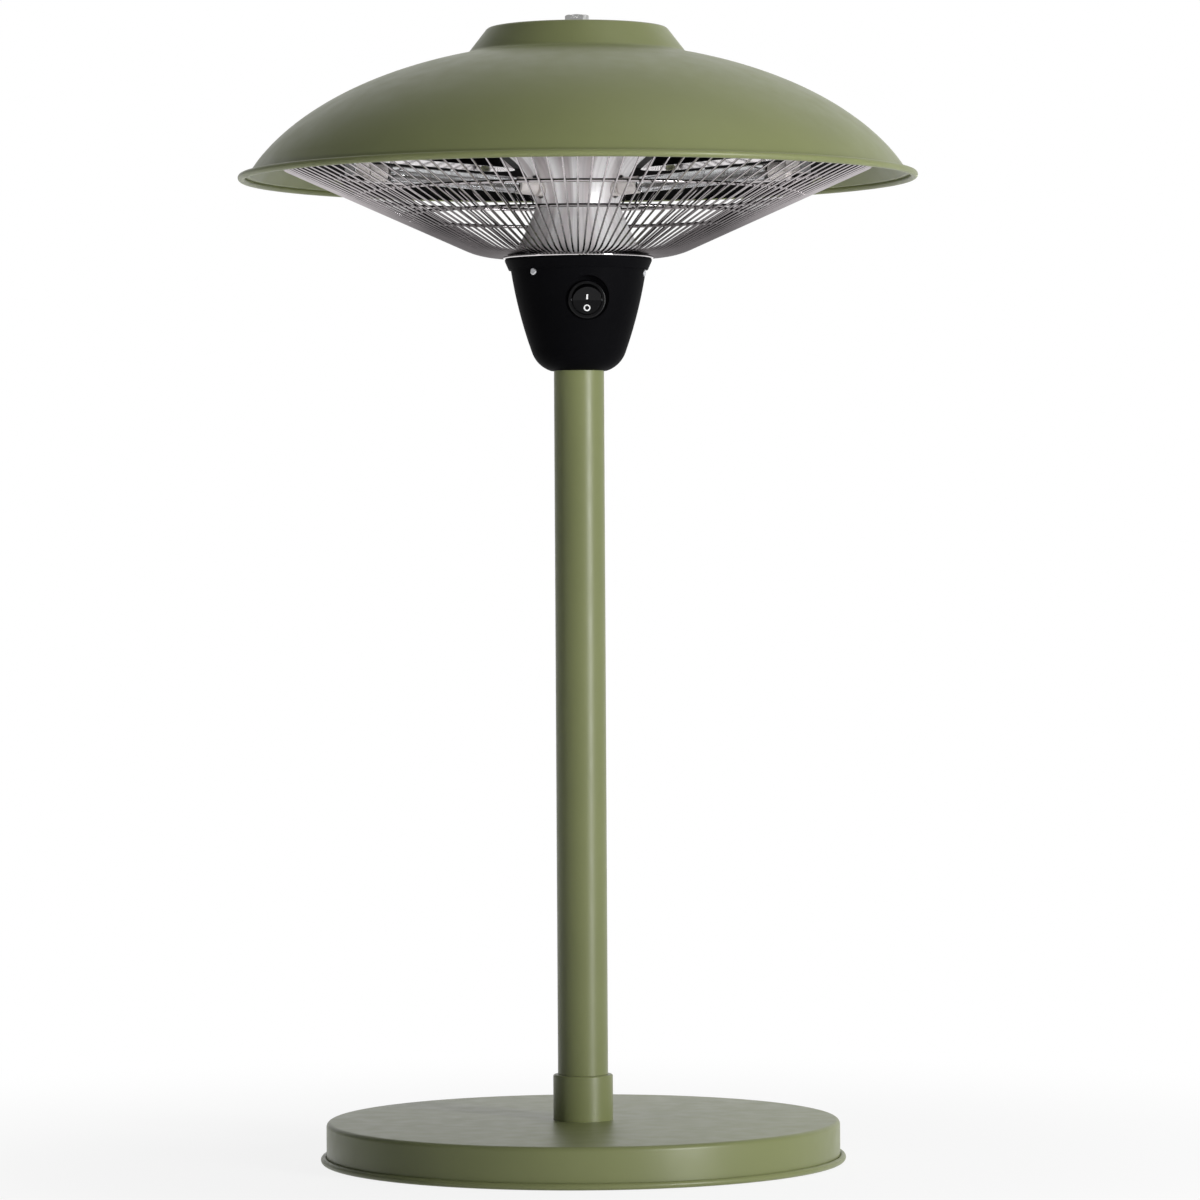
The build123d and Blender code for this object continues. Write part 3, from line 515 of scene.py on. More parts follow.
BRASS = BrightMetal("plain_brass", (0.72, 0.53, 0.25), (0.24, 0.324), (0.85, 1.0),
                    grain=Noise(0.7), depth=0.005)
TUNGSTEN = BrightMetal("tungsten_wire", (0.36, 0.33, 0.31), (0.34, 0.459), depth=0.002, slot="tungsten")
SATIN_BLACK = MouldedPlastic("satin_black_plastic", (0.0032, 0.0032, 0.0038), (0.5, 0.55), gloss=0.012)
GLOSS_BLACK = MouldedPlastic("gloss_black_plastic", (0.002, 0.002, 0.0024), (0.2, 0.25),
                             grain=Noise(2.0), depth=0.002, gloss=0.2)
WHITE_INLAY = MouldedPlastic("white_inlay_plastic", (0.80, 0.80, 0.80), (0.4, 0.45),
                             grain=Noise(1.0), depth=0.002)
WHITE_PLASTIC = MouldedPlastic("white_plastic", (0.62, 0.61, 0.58), (0.45, 0.5))
CERAMIC = FiredCeramic("fired_ceramic", (0.80, 0.75, 0.73))
QUARTZ = QuartzGlass("drawn_quartz", (0.97, 0.98, 0.99), slot="quartz")
RUBBER = SoftRubber("black_rubber", (0.012, 0.012, 0.012))
CASTING = RoughCasting("raw_iron_casting", (0.10, 0.10, 0.10))


# Mesh building


def spaced(start: float, end: float, steps: int) -> list[float]:
    """Give evenly spaced values from a start to an end."""
    return [start + (end - start) * step / steps for step in range(steps + 1)]


def polar(reach: float, angle: float, height: float) -> Vector:
    """Give a point in metres from its distance to the axis, its bearing in radians and its height."""
    return Vector((reach * math.cos(angle), reach * math.sin(angle), height)) * MM


def arc_run(centre: Flat, radius: float, start: float, end: float, steps: int) -> list[Flat]:
    """Give points along an arc.

    Args:
        centre: The arc's centre as distance from the axis and height.
        radius: Its radius in millimetres.
        start: First angle in degrees, 0 outwards and 90 up.
        end: Last angle in degrees.
        steps: Steps along it.

    Returns:
        The arc's points.
    """
    angles = [math.radians(degrees) for degrees in spaced(start, end, steps)]
    return [(centre[0] + radius * math.cos(angle), centre[1] + radius * math.sin(angle)) for angle in angles]


def short_arc(centre: Vector, first: Vector, last: Vector, steps: int) -> list[Flat]:
    """Give points along the shorter arc from one point to another.

    Args:
        centre: The arc's centre.
        first: Where it starts.
        last: Where it ends.
        steps: Steps along it.

    Returns:
        The arc's points.
    """
    radius = (first - centre).length
    start = math.atan2(first.y - centre.y, first.x - centre.x)
    sweep = math.atan2(last.y - centre.y, last.x - centre.x) - start
    sweep = (sweep + math.pi) % TURN - math.pi
    return arc_run((centre.x, centre.y), radius, math.degrees(start), math.degrees(start + sweep), steps)


def rounded_run(corners: Sequence[tuple[float, float, float]], steps: int = 8) -> list[Flat]:
    """Round the corners of an open run of straight lines.

    Args:
        corners: Distance from the axis, height and corner radius of each point, in millimetres.
        steps: Steps along each rounded corner.

    Returns:
        The run's points.
    """
    run: list[Flat] = []
    for index, (reach, height, radius) in enumerate(corners):
        here = Vector((reach, height))
        if radius <= 0 or index in (0, len(corners) - 1):
            run.append((reach, height))
            continue
        back = (Vector(corners[index - 1][:2]) - here).normalized()
        ahead = (Vector(corners[index + 1][:2]) - here).normalized()
        half = back.angle(ahead) / 2
        centre = here + (back + ahead).normalized() * radius / math.sin(half)
        first = here + back * radius / math.tan(half)
        last = here + ahead * radius / math.tan(half)
        run.extend(short_arc(centre, first, last, steps))
    return run


def three_point_run(first: Flat, middle: Flat, last: Flat, steps: int) -> list[Flat]:
    """Give points along the circular arc through three points.

    Args:
        first: Where it starts.
        middle: A point on its way.
        last: Where it ends.
        steps: Steps along it.

    Returns:
        The arc's points.
    """
    (ax, ay), (bx, by), (cx, cy) = first, middle, last
    twice = 2 * (ax * (by - cy) + bx * (cy - ay) + cx * (ay - by))
    aa, bb, cc = ax * ax + ay * ay, bx * bx + by * by, cx * cx + cy * cy
    centre = Vector(((aa * (by - cy) + bb * (cy - ay) + cc * (ay - by)) / twice,
                     (aa * (cx - bx) + bb * (ax - cx) + cc * (bx - ax)) / twice))
    return short_arc(centre, Vector(first), Vector(last), steps)


def bridge(work: Work, first: Row, second: Row, closed: bool = True) -> None:
    """Join two rows of vertices by faces.

    Args:
        work: Working mesh that holds the rows.
        first: One row.
        second: The other row, as long as the first, unless either is a single vertex.
        closed: Whether the rows run all the way round.
    """
    count = max(len(first), len(second))
    for step in range(count if closed else count - 1):
        after = (step + 1) % count
        corners = (first[step % len(first)], first[after % len(first)],
                   second[after % len(second)], second[step % len(second)])
        unique = list(dict.fromkeys(corners))
        if len(unique) > 2:
            work.faces.new(unique)


def lathe(work: Work, outline: Sequence[Flat], segments: int, place: Matrix = Matrix.Identity(4),
          closed: bool = True) -> None:
    """Turn an outline round its axis into a working mesh.

    Args:
        work: Working mesh that the shape is added to.
        outline: Distance from the axis and height of each point, in millimetres. A point on the
            axis closes the surface there.
        segments: Steps round the axis.
        place: Where the shape goes, with its axis along local Z.
        closed: Whether the last point joins the first.
    """
    rings = []
    for reach, height in outline:
        count = 1 if abs(reach) < TINY else segments
        rings.append([work.verts.new(place @ polar(reach, TURN * step / segments, height))
                      for step in range(count)])
    for first, second in zip(rings, rings[1:]):
        bridge(work, first, second)
    if closed:
        bridge(work, rings[-1], rings[0])


def tube(work: Work, line: Sequence[Vector], radius: float, sides: int) -> None:
    """Sweep a round section along a line of points into a working mesh.

    Args:
        work: Working mesh that the tube is added to.
        line: Points of the tube's middle, in metres.
        radius: Section radius in millimetres.
        sides: Sides of the section.
    """
    rings = []
    angles = [TURN * step / sides for step in range(sides)]
    side = Vector((0.0, 0.0, 1.0))
    for index, point in enumerate(line):
        ahead = (line[min(index + 1, len(line) - 1)] - line[max(index - 1, 0)]).normalized()
        side = side - ahead * side.dot(ahead)
        if side.length < TINY:
            side = ahead.orthogonal()
        side.normalize()
        across = ahead.cross(side)
        offsets = [side * math.cos(angle) + across * math.sin(angle) for angle in angles]
        rings.append([work.verts.new(point + offset * radius * MM) for offset in offsets])
    for first, second in zip(rings, rings[1:]):
        bridge(work, first, second)
    work.faces.new(rings[0])
    work.faces.new(rings[-1])


class Heater:
    """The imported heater: its nodes, its materials, and the ways to dress and add pieces."""

    def __init__(self) -> None:
        """Load the frame."""
        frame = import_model()
        self.nodes: dict[str, bpy.types.Object] = frame["nodes"]
        self.materials: dict[str, bpy.types.Material] = {}
        self.dressed: set[str] = set()

    def material(self, finish: Finish) -> bpy.types.Material:
        """Give a finish's material, which its first use builds.

        Args:
            finish: The finish.

        Returns:
            The material.
        """
        if finish.name not in self.materials:
            self.materials[finish.name] = finish.material()
        return self.materials[finish.name]

    def dress(self, finish: Finish, *names: str) -> None:
        """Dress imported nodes.

        Args:
            finish: Their finish.
            names: Their names.
        """
        for name in names:
            node = self.nodes[name]
            node.data.materials.clear()
            node.data.materials.append(self.material(finish))
            self.dressed.add(name)
            LOG.info("dressed %s in %s", name, finish.name)

    def add(self, name: str, work: Work, finish: Finish, *stood_for: str) -> None:
        """Smooth a working mesh and add it as a piece of the body that stands still.

        Args:
            name: The piece's name.
            work: Its working mesh, in metres in the heater's frame.
            finish: Its finish.
            stood_for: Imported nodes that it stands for.
        """
        bmesh.ops.recalc_face_normals(work, faces=work.faces)
        mesh = bpy.data.meshes.new(name)
        work.to_mesh(mesh)
        work.free()
        mesh.shade_smooth()
        mesh.set_sharp_from_angle(angle=SHARP_ABOVE)
        mesh.materials.append(self.material(finish))
        piece = bpy.data.objects.new(name, mesh)
        bpy.context.scene.collection.objects.link(piece)
        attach(piece, FIXED_BODY)
        if stood_for:
            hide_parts(*stood_for)
            self.dressed.update(stood_for)
        LOG.info("added %s with %d faces", name, len(mesh.polygons))

    def turn(self, name: str, outline: Sequence[Flat], segments: int, finish: Finish, stood_for: str) -> None:
        """Turn an outline round the pole's axis and add it as a piece.

        Args:
            name: The piece's name.
            outline: Its closed outline, as distance from the axis and height.
            segments: Steps round the axis.
            finish: Its finish.
            stood_for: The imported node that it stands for.
        """
        work = bmesh.new()
        lathe(work, outline, segments)
        self.add(name, work, finish, stood_for)


# Sub-assemblies, from the table up


@dataclass
class SubAssembly:
    """Pieces that are made together.

    Attributes:
        heater: The heater that they belong to.
    """

    heater: Heater

    def build(self) -> None:
        """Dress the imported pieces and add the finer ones."""
        raise NotImplementedError


@dataclass
class WeightedBase(SubAssembly):
    """Round base: painted shell with a rolled bead, ballast, plate, feet and the cable's grommet."""

    reach: float = 160.8
    height: float = 26.0
    wall: float = 1.2
    edge_round: float = 3.0
    edge_steps: int = 10
    hole: float = 7.2
    bead_reach: float = 162.3
    bead_height: float = 2.5
    bead_radius: float = 2.1
    bead_sweep: float = 312.0
    bead_steps: int = 30
    bead_clearance: float = 1.6
    segments: int = 240

    def outline(self) -> list[Flat]:
        """Draw the shell, out over the top, round the bead and back inside.

        Returns:
            The closed outline's points.
        """
        wall_end = self.bead_height + self.bead_radius + self.bead_clearance
        outer = rounded_run([(self.hole, self.height, 0.0), (self.reach, self.height, self.edge_round),
                             (self.reach, wall_end, 0.0)], self.edge_steps)
        start = 180 - math.degrees(math.acos((self.bead_reach - self.reach) / self.bead_radius))
        bead = arc_run((self.bead_reach, self.bead_height), self.bead_radius, start,
                       start - self.bead_sweep, self.bead_steps)
        inside = self.reach - self.wall
        under = self.height - self.wall
        inner = rounded_run([(inside, self.bead_height, 0.0), (inside, under, self.edge_round - self.wall),
                             (self.hole, under, 0.0)], self.edge_steps)
        return outer + bead + inner

    def build(self) -> None:
        """Turn the shell and dress what it holds."""
        self.heater.turn("turned_base", self.outline(), self.segments, OLIVE, "base_shell")
        self.heater.dress(CASTING, "base_ballast")
        self.heater.dress(ENAMEL, "base_plate")
        self.heater.dress(ZINC, "base_plate_screws")
        self.heater.dress(RUBBER, "base_feet", "cable_grommet")


@dataclass
class PoleStack(SubAssembly):
    """Pole, its sleeve and the hollow fixings inside its ends."""

    foot: float = 26.0
    head: float = 495.0
    reach: float = 15.7
    wall: float = 1.5
    sleeve_bore: float = 15.8
    sleeve_reach: float = 18.7
    sleeve_height: float = 28.5
    sleeve_round: float = 1.2
    segments: int = 128

    def build(self) -> None:
        """Draw the pole and its sleeve, and dress the fixings."""
        bore = self.reach - self.wall
        pole = [(bore, self.foot), (self.reach, self.foot), (self.reach, self.head), (bore, self.head)]
        self.heater.turn("drawn_pole", pole, self.segments, OLIVE, "pole")
        top = self.foot + self.sleeve_height
        sleeve = rounded_run([(self.sleeve_bore, self.foot, 0.0), (self.sleeve_reach, self.foot, 0.0),
                              (self.sleeve_reach, top, self.sleeve_round), (self.sleeve_bore, top, 0.0)])
        self.heater.turn("foot_sleeve", sleeve, self.segments, OLIVE, "pole_sleeve")
        self.heater.dress(ZINC, "pole_plugs", "pole_nipples", "pole_washers", "pole_nuts")


class ControlHousing(SubAssembly):
    """Black housing with its lid, screws, inner bracket, terminals, cut-out and leads."""

    def build(self) -> None:
        """Dress the housing and what it holds."""
        self.heater.dress(SATIN_BLACK, "control_housing", "thermal_cutout")
        self.heater.dress(ZINC, "housing_lid", "housing_screws", "inner_bracket")
        self.heater.dress(WHITE_PLASTIC, "terminal_block")
        self.heater.dress(BRASS, "terminal_screws")
        self.heater.dress(RUBBER, "supply_lead", "column_leads")


class PowerSwitch(SubAssembly):
    """Round rocker switch in the housing's pocket."""

    def build(self) -> None:
        """Dress the switch and its moving rocker."""
        self.heater.dress(GLOSS_BLACK, "switch_body", "switch_rocker")
        self.heater.dress(WHITE_INLAY, "switch_marks")
        self.heater.dress(ZINC, "rocker_pin")
        self.heater.dress(BRASS, "switch_terminals")


class TipOverSwitch(SubAssembly):
    """Pendulum switch that cuts the power when the heater leans."""

    def build(self) -> None:
        """Dress the case and the pendulum."""
        self.heater.dress(WHITE_PLASTIC, "tilt_case", "tilt_cover")
        self.heater.dress(ZINC, "tilt_pin")
        self.heater.dress(BRASS, "tilt_pendulum")


@dataclass
class PolishedColumn(SubAssembly):
    """Polished bell and funnel round the tie rod, with the ring that the guard stands on.

    The bell's top edge is turned in: its lip's points are given by how far in and up they lie.
    """

    sheet: float = 0.8
    foot: float = 566.2
    foot_reach: float = 41.0
    flange_reach: float = 43.0
    bell_middle: Flat = (30.2, 587.96)
    bell_steps: int = 28
    waist: Flat = (26.3, 598.2)
    waist_gap: float = 0.7
    lip: tuple[Flat, Flat] = ((0.25, 0.3), (0.7, 0.4))
    segments: int = 160

    def bell(self) -> list[Flat]:
        """Draw the bell, its top edge turned in towards the spigot.

        Returns:
            The closed outline's points.
        """
        top_reach, top_height = self.waist[0], self.waist[1] - self.waist_gap
        outer = three_point_run((self.foot_reach, self.foot + self.sheet), self.bell_middle,
                                (top_reach, top_height), self.bell_steps)
        lip = [(top_reach - inset, top_height + rise) for inset, rise in self.lip]
        inner = [(reach - self.sheet, height) for reach, height in reversed(outer)]
        rim = [(self.foot_reach - self.sheet, self.foot), (self.flange_reach, self.foot),
               (self.flange_reach, self.foot + self.sheet)]
        return outer + lip + inner[:-1] + rim

    def build(self) -> None:
        """Spin the bell, and dress the column and the rod with what it clamps."""
        self.heater.turn("spun_bell", self.bell(), self.segments, BELL, "column_bell")
        self.heater.dress(SPUN, "column_funnel")
        self.heater.dress(MIRROR, "guard_base_ring")
        self.heater.dress(CHROMED, "top_nut")
        self.heater.dress(ZINC, "tie_rod", "rod_nut", "rod_spacers", "holder_plate")


@dataclass
class LinearLamps(SubAssembly):
    """Three quartz lamps that lie like spokes, with holders and reflector channels.

    The glass ends in rounded shoulders, whose flat share is that of the radius left flat. The tip is
    where it was pumped out and sealed, given by distance from its own axis and height over the glass.
    """

    first_angle: float = 210.0
    names: tuple[str, ...] = ("left", "right", "rear")
    centre_reach: float = 90.0
    centre_height: float = 612.1
    tilt: float = 2.7
    glass_half: float = 47.0
    glass_radius: float = 5.0
    glass_wall: float = 1.0
    glass_end: float = 1.5
    glass_segments: int = 40
    shoulder: float = 3.5
    shoulder_flat: float = 0.55
    shoulder_steps: int = 6
    tip: tuple[Flat, ...] = ((0.0, 1.9), (0.455, 1.71), (0.91, 0.855), (1.3, -0.1), (0.0, -0.4))
    tip_segments: int = 16
    coil_radius: float = 1.05
    coil_wire: float = 0.17
    coil_pitch: float = 0.72
    coil_half: float = 41.0
    coil_steps: int = 12
    wire_sides: int = 5
    tail_wire: float = 0.272
    tail_end: float = 45.0
    tail_steps: int = 4
    tail_sides: int = 6
    loop_count: int = 5
    loop_turns: float = 1.25
    loop_gap: float = 0.15
    loop_shift: float = 0.6
    loop_steps: int = 30
    loop_rise_steps: int = 8

    def place(self, angle: float) -> Matrix:
        """Give a lamp's own frame, whose X axis runs outwards along the lamp.

        Args:
            angle: The lamp's bearing in degrees.

        Returns:
            The frame's matrix, in metres.
        """
        turn = Matrix.Rotation(math.radians(angle), 4, "Z")
        shift = Matrix.Translation(Vector((self.centre_reach, 0.0, self.centre_height)) * MM)
        return turn @ shift @ Matrix.Rotation(math.radians(-self.tilt), 4, "Y")

    def glass(self, place: Matrix) -> Work:
        """Build a quartz tube with its shoulders and its sealed tip.

        Args:
            place: The lamp's own frame.

        Returns:
            The working mesh.
        """
        work = bmesh.new()
        along = place @ Matrix.Rotation(math.radians(90), 4, "Y")
        inner = self.glass_radius - self.glass_wall
        angles = spaced(0.0, math.pi / 2, self.shoulder_steps)
        for radius, half in ((self.glass_radius, self.glass_half), (inner, self.glass_half - self.glass_end)):
            end = [(radius * (self.shoulder_flat + (1 - self.shoulder_flat) * math.sin(angle)),
                    -half + self.shoulder * (1 - math.cos(angle))) for angle in angles]
            far_end = [(reach, -height) for reach, height in reversed(end)]
            lathe(work, [(0.0, -half), *end, *far_end, (0.0, half)], self.glass_segments, along, closed=False)
        tip = [(reach, self.glass_radius + rise) for reach, rise in self.tip]
        lathe(work, tip, self.tip_segments, place, closed=False)
        return work

    def coil(self, place: Matrix) -> Work:
        """Build the coiled filament with its tails and the loops that hold it off the glass.

        Args:
            place: The lamp's own frame.

        Returns:
            The working mesh.
        """
        work = bmesh.new()

        def wind(points: Sequence[Point], wire: float, sides: int) -> None:
            """Sweep a wire through points along the lamp, given by distance from its axis and angle."""
            line = [place @ (Vector((x, reach * math.cos(angle), reach * math.sin(angle))) * MM)
                    for x, reach, angle in points]
            tube(work, line, wire, sides)

        steps = int(2 * self.coil_half / self.coil_pitch * self.coil_steps)
        wind([(x, self.coil_radius, TURN * step / self.coil_steps)
              for step, x in enumerate(spaced(-self.coil_half, self.coil_half, steps))],
             self.coil_wire, self.wire_sides)
        for side in (-1, 1):
            along = spaced(side * self.coil_half, side * self.tail_end, self.tail_steps)
            inward = spaced(self.coil_radius, 0.0, self.tail_steps)
            wind([(x, reach, 0.0) for x, reach in zip(along, inward)], self.tail_wire, self.tail_sides)
        room = self.glass_radius - self.glass_wall - self.loop_gap - self.coil_radius
        for index in range(self.loop_count):
            start = -self.coil_half + (index + 0.5) * 2 * self.coil_half / self.loop_count
            wind([(start + self.loop_shift * step / self.loop_steps,
                   self.coil_radius + room * min(1.0, step / self.loop_rise_steps),
                   TURN * self.loop_turns * step / self.loop_steps) for step in range(self.loop_steps + 1)],
                 self.coil_wire, self.wire_sides)
        return work

    def build(self) -> None:
        """Dress the caps, holders and channels, and add the tubes and the coiled filaments."""
        for index, name in enumerate(self.names):
            place = self.place(self.first_angle + index * 360.0 / len(self.names))
            self.heater.add("quartz_tube_" + name, self.glass(place), QUARTZ, "lamp_tube_" + name)
            stood_for = ["lamp_filaments"] if index == 0 else []
            self.heater.add("filament_coil_" + name, self.coil(place), TUNGSTEN, *stood_for)
        self.heater.dress(CERAMIC, "lamp_caps", "lamp_holders_inner", "lamp_holders_outer")
        self.heater.dress(MIRROR, "lamp_reflectors")
        self.heater.dress(ZINC, "holder_brackets", "reflector_studs")


@dataclass
class WireGuard(SubAssembly):
    """Conical guard of radial wires welded to rings, hung from the heat shield by clips."""

    wire_count: int = 117
    wire_radius: float = 0.62
    wire_sides: int = 8
    first_angle: float = -90.0
    foot_reach: float = 44.0
    corner_reach: float = 60.9
    bend: float = 50.0
    bend_steps: int = 10
    foot_height: float = 566.82
    rim_reach: float = 183.93
    rim_height: float = 621.96

    def wires(self) -> Work:
        """Draw the radial wires, each bent up from the base ring to the rim.

        Returns:
            The working mesh.
        """
        work = bmesh.new()
        bent = rounded_run([(self.foot_reach, self.foot_height, 0.0),
                            (self.corner_reach, self.foot_height, self.bend),
                            (self.rim_reach, self.rim_height, 0.0)], self.bend_steps)
        for index in range(self.wire_count):
            angle = math.radians(self.first_angle + 360.0 * index / self.wire_count)
            line = [polar(reach, angle, height) for reach, height in bent]
            tube(work, line, self.wire_radius, self.wire_sides)
        return work

    def build(self) -> None:
        """Draw the wires, and dress the rings and the heat shield."""
        self.heater.add("drawn_wires", self.wires(), WIRE, "guard_wires")
        self.heater.dress(WIRE, "guard_rim_ring", "guard_rings")
        self.heater.dress(ENAMEL, "heat_shield")
        self.heater.dress(ZINC, "guard_clips", "guard_clip_screws")


@dataclass
class SpunHood(SubAssembly):
    """Wide hood spun from one sheet: raised crown, dome, narrow flat brim and rolled edge.

    The insets say by what share of the wall the inner face's corners lie nearer the axis, and for the
    side also lower, than the outer face's.
    """

    wall: float = 1.0
    hole: float = 4.15
    crown_height: float = 709.5
    crown_reach: float = 56.0
    crown_round: float = 4.0
    crown_inset: float = 0.5
    side_reach: float = 68.6
    side_inset: Flat = (0.75, 1.1)
    foot_reach: float = 76.0
    foot_height: float = 691.7
    foot_round: float = 6.0
    mouth_reach: float = 206.0
    mouth_height: float = 617.9
    mouth_round: float = 1.6
    mouth_inset: float = 0.53
    fullness: float = 1.0602
    dome_steps: int = 44
    rim_reach: float = 212.5
    rim_height: float = 613.8
    roll: float = 2.2
    roll_steps: int = 30
    segments: int = 300

    def dome(self, drop: float, start: float, end: float, steps: int) -> list[Flat]:
        """Give points down the dome.

        Args:
            drop: How far inside the outer face they lie.
            start: Distance from the axis of the first point.
            end: Distance from the axis of the last point.
            steps: Steps between them.

        Returns:
            The dome's points.
        """
        wide = self.mouth_reach * self.fullness
        foot_share = math.sqrt(1 - (self.foot_reach / wide) ** 2)
        mouth_share = math.sqrt(1 - (self.mouth_reach / wide) ** 2)
        tall = (self.foot_height - self.mouth_height) / (foot_share - mouth_share)
        centre = self.mouth_height - tall * mouth_share
        return [(reach, centre + (tall - drop) * math.sqrt(1 - (reach / (wide - drop)) ** 2))
                for reach in spaced(start, end, steps)]

    def outline(self) -> list[Flat]:
        """Draw the sheet, down the outside, round the rolled edge and back inside.

        Returns:
            The closed outline's points.
        """
        wall = self.wall
        outer = self.dome(0.0, self.foot_reach, self.mouth_reach, self.dome_steps)
        fall = (outer[0][1] - outer[1][1]) / (outer[1][0] - outer[0][0])
        side = (self.side_reach, self.foot_height + (self.foot_reach - self.side_reach) * fall)
        crown = rounded_run([(self.hole, self.crown_height, 0.0),
                             (self.crown_reach, self.crown_height, self.crown_round),
                             (*side, self.foot_round), (self.foot_reach, self.foot_height, 0.0)])
        bead = (self.rim_reach - self.roll, self.rim_height + self.roll)
        run, drop = bead[0] - self.mouth_reach, self.mouth_height - bead[1]
        slope = math.atan2(drop, run) - math.asin(self.roll / math.hypot(run, drop))
        curl_start = math.degrees(math.pi / 2 - slope)
        curl_end = curl_start - 360 + math.degrees(math.acos(1.0 - wall / self.roll))
        curl = arc_run(bead, self.roll, curl_start, curl_end, self.roll_steps)
        inner = self.dome(wall, self.foot_reach, self.mouth_reach - wall * self.mouth_inset, self.dome_steps)
        brim = rounded_run([(*outer[-3], 0.0), (self.mouth_reach, self.mouth_height, self.mouth_round),
                            (*curl[0], 0.0)])
        back = rounded_run([(*curl[-1], 0.0), (*inner[-1], self.mouth_round), (*inner[-3], 0.0)])
        in_side = (side[0] - wall * self.side_inset[0], side[1] - wall * self.side_inset[1])
        in_reach, in_height = self.crown_reach - wall * self.crown_inset, self.crown_height - wall
        in_crown = rounded_run([(self.foot_reach, inner[0][1], 0.0), (*in_side, self.foot_round + wall),
                                (in_reach, in_height, self.crown_round - wall), (self.hole, in_height, 0.0)])
        return crown + outer[1:-3] + brim + curl[1:] + back[1:] + list(reversed(inner[1:-3])) + in_crown

    def build(self) -> None:
        """Spin the hood."""
        self.heater.turn("spun_hood", self.outline(), self.segments, OLIVE, "hood")


@dataclass
class PaintedShadeLiner(SpunHood):
    """Black strip close to the hood's inner face behind the rear lamp, a painted shade: a dark sheet where
    the hood's inside only lies in shade.

    It follows the hood's own sizes. Its lower edge runs level in the middle and rises towards both ends.
    """

    top_reach: float = 184.0
    end_reach: float = 196.0
    middle_angle: float = 90.0
    half_angle: float = 65.0
    level_within: float = 44.0
    rise_over: float = 12.0
    gap: float = 0.1
    sheet: float = 0.5
    mouth_clearance: float = 2.0
    edge_inset: float = 0.2
    edge_lift: float = 0.4
    rows: int = 12
    columns: int = 90

    def strip(self) -> Work:
        """Build the strip, its outer face first, then its inner face and the edges between them.

        Returns:
            The working mesh.
        """
        work = bmesh.new()
        drop = self.wall + self.gap
        low = self.dome(drop, self.top_reach, self.mouth_reach - self.mouth_clearance, self.rows)
        low.append((low[-1][0] - self.edge_inset, self.rim_height + self.edge_lift))
        high = self.dome(drop, self.top_reach, self.end_reach, len(low) - 1)
        faces = []
        for inset in (0.0, self.sheet):
            rows = []
            for (low_reach, low_height), (high_reach, high_height) in zip(low, high):
                row = []
                for off in spaced(-self.half_angle, self.half_angle, self.columns):
                    share = min(1.0, max(0.0, (abs(off) - self.level_within) / self.rise_over))
                    reach = low_reach + (high_reach - low_reach) * share - inset
                    height = low_height + (high_height - low_height) * share
                    row.append(work.verts.new(polar(reach, math.radians(self.middle_angle + off), height)))
                rows.append(row)
            for upper, lower in zip(rows, rows[1:]):
                bridge(work, upper, lower, closed=False)
            faces.append(rows)
        outer, inner = faces
        for end in (0, -1):
            bridge(work, outer[end], inner[end], closed=False)
        for end in (0, -1):
            bridge(work, [row[end] for row in outer], [row[end] for row in inner], closed=False)
        return work

    def build(self) -> None:
        """Add the strip."""
        # The strip is a painted shade over the hood's olive inside.
        self.heater.add("painted_shade_liner", self.strip(), ENAMEL)


# Studio


@dataclass(frozen=True)
class SoftBox:
    """A soft box that hangs in one place and faces a point.

    Its size is width and height, its power is in watts, and its light keeps to the spread, in degrees.
    """

    name: str
    place: Point
    aim: Point
    size: Flat
    power: float
    spread: float = 180.0
    in_gloss: bool = True

    def hang(self) -> None:
        """Hang it in the scene."""
        data = bpy.data.lights.new(self.name, "AREA")
        data.shape = "RECTANGLE"
        data.size, data.size_y = self.size
        data.energy = self.power
        data.spread = math.radians(self.spread)
        lamp = bpy.data.objects.new(self.name, data)
        bpy.context.scene.collection.objects.link(lamp)
        lamp.location = self.place
        lamp.rotation_mode = "QUATERNION"
        lamp.rotation_quaternion = (Vector(self.aim) - Vector(self.place)).to_track_quat("-Z", "Y")
        lamp.visible_glossy = self.in_gloss


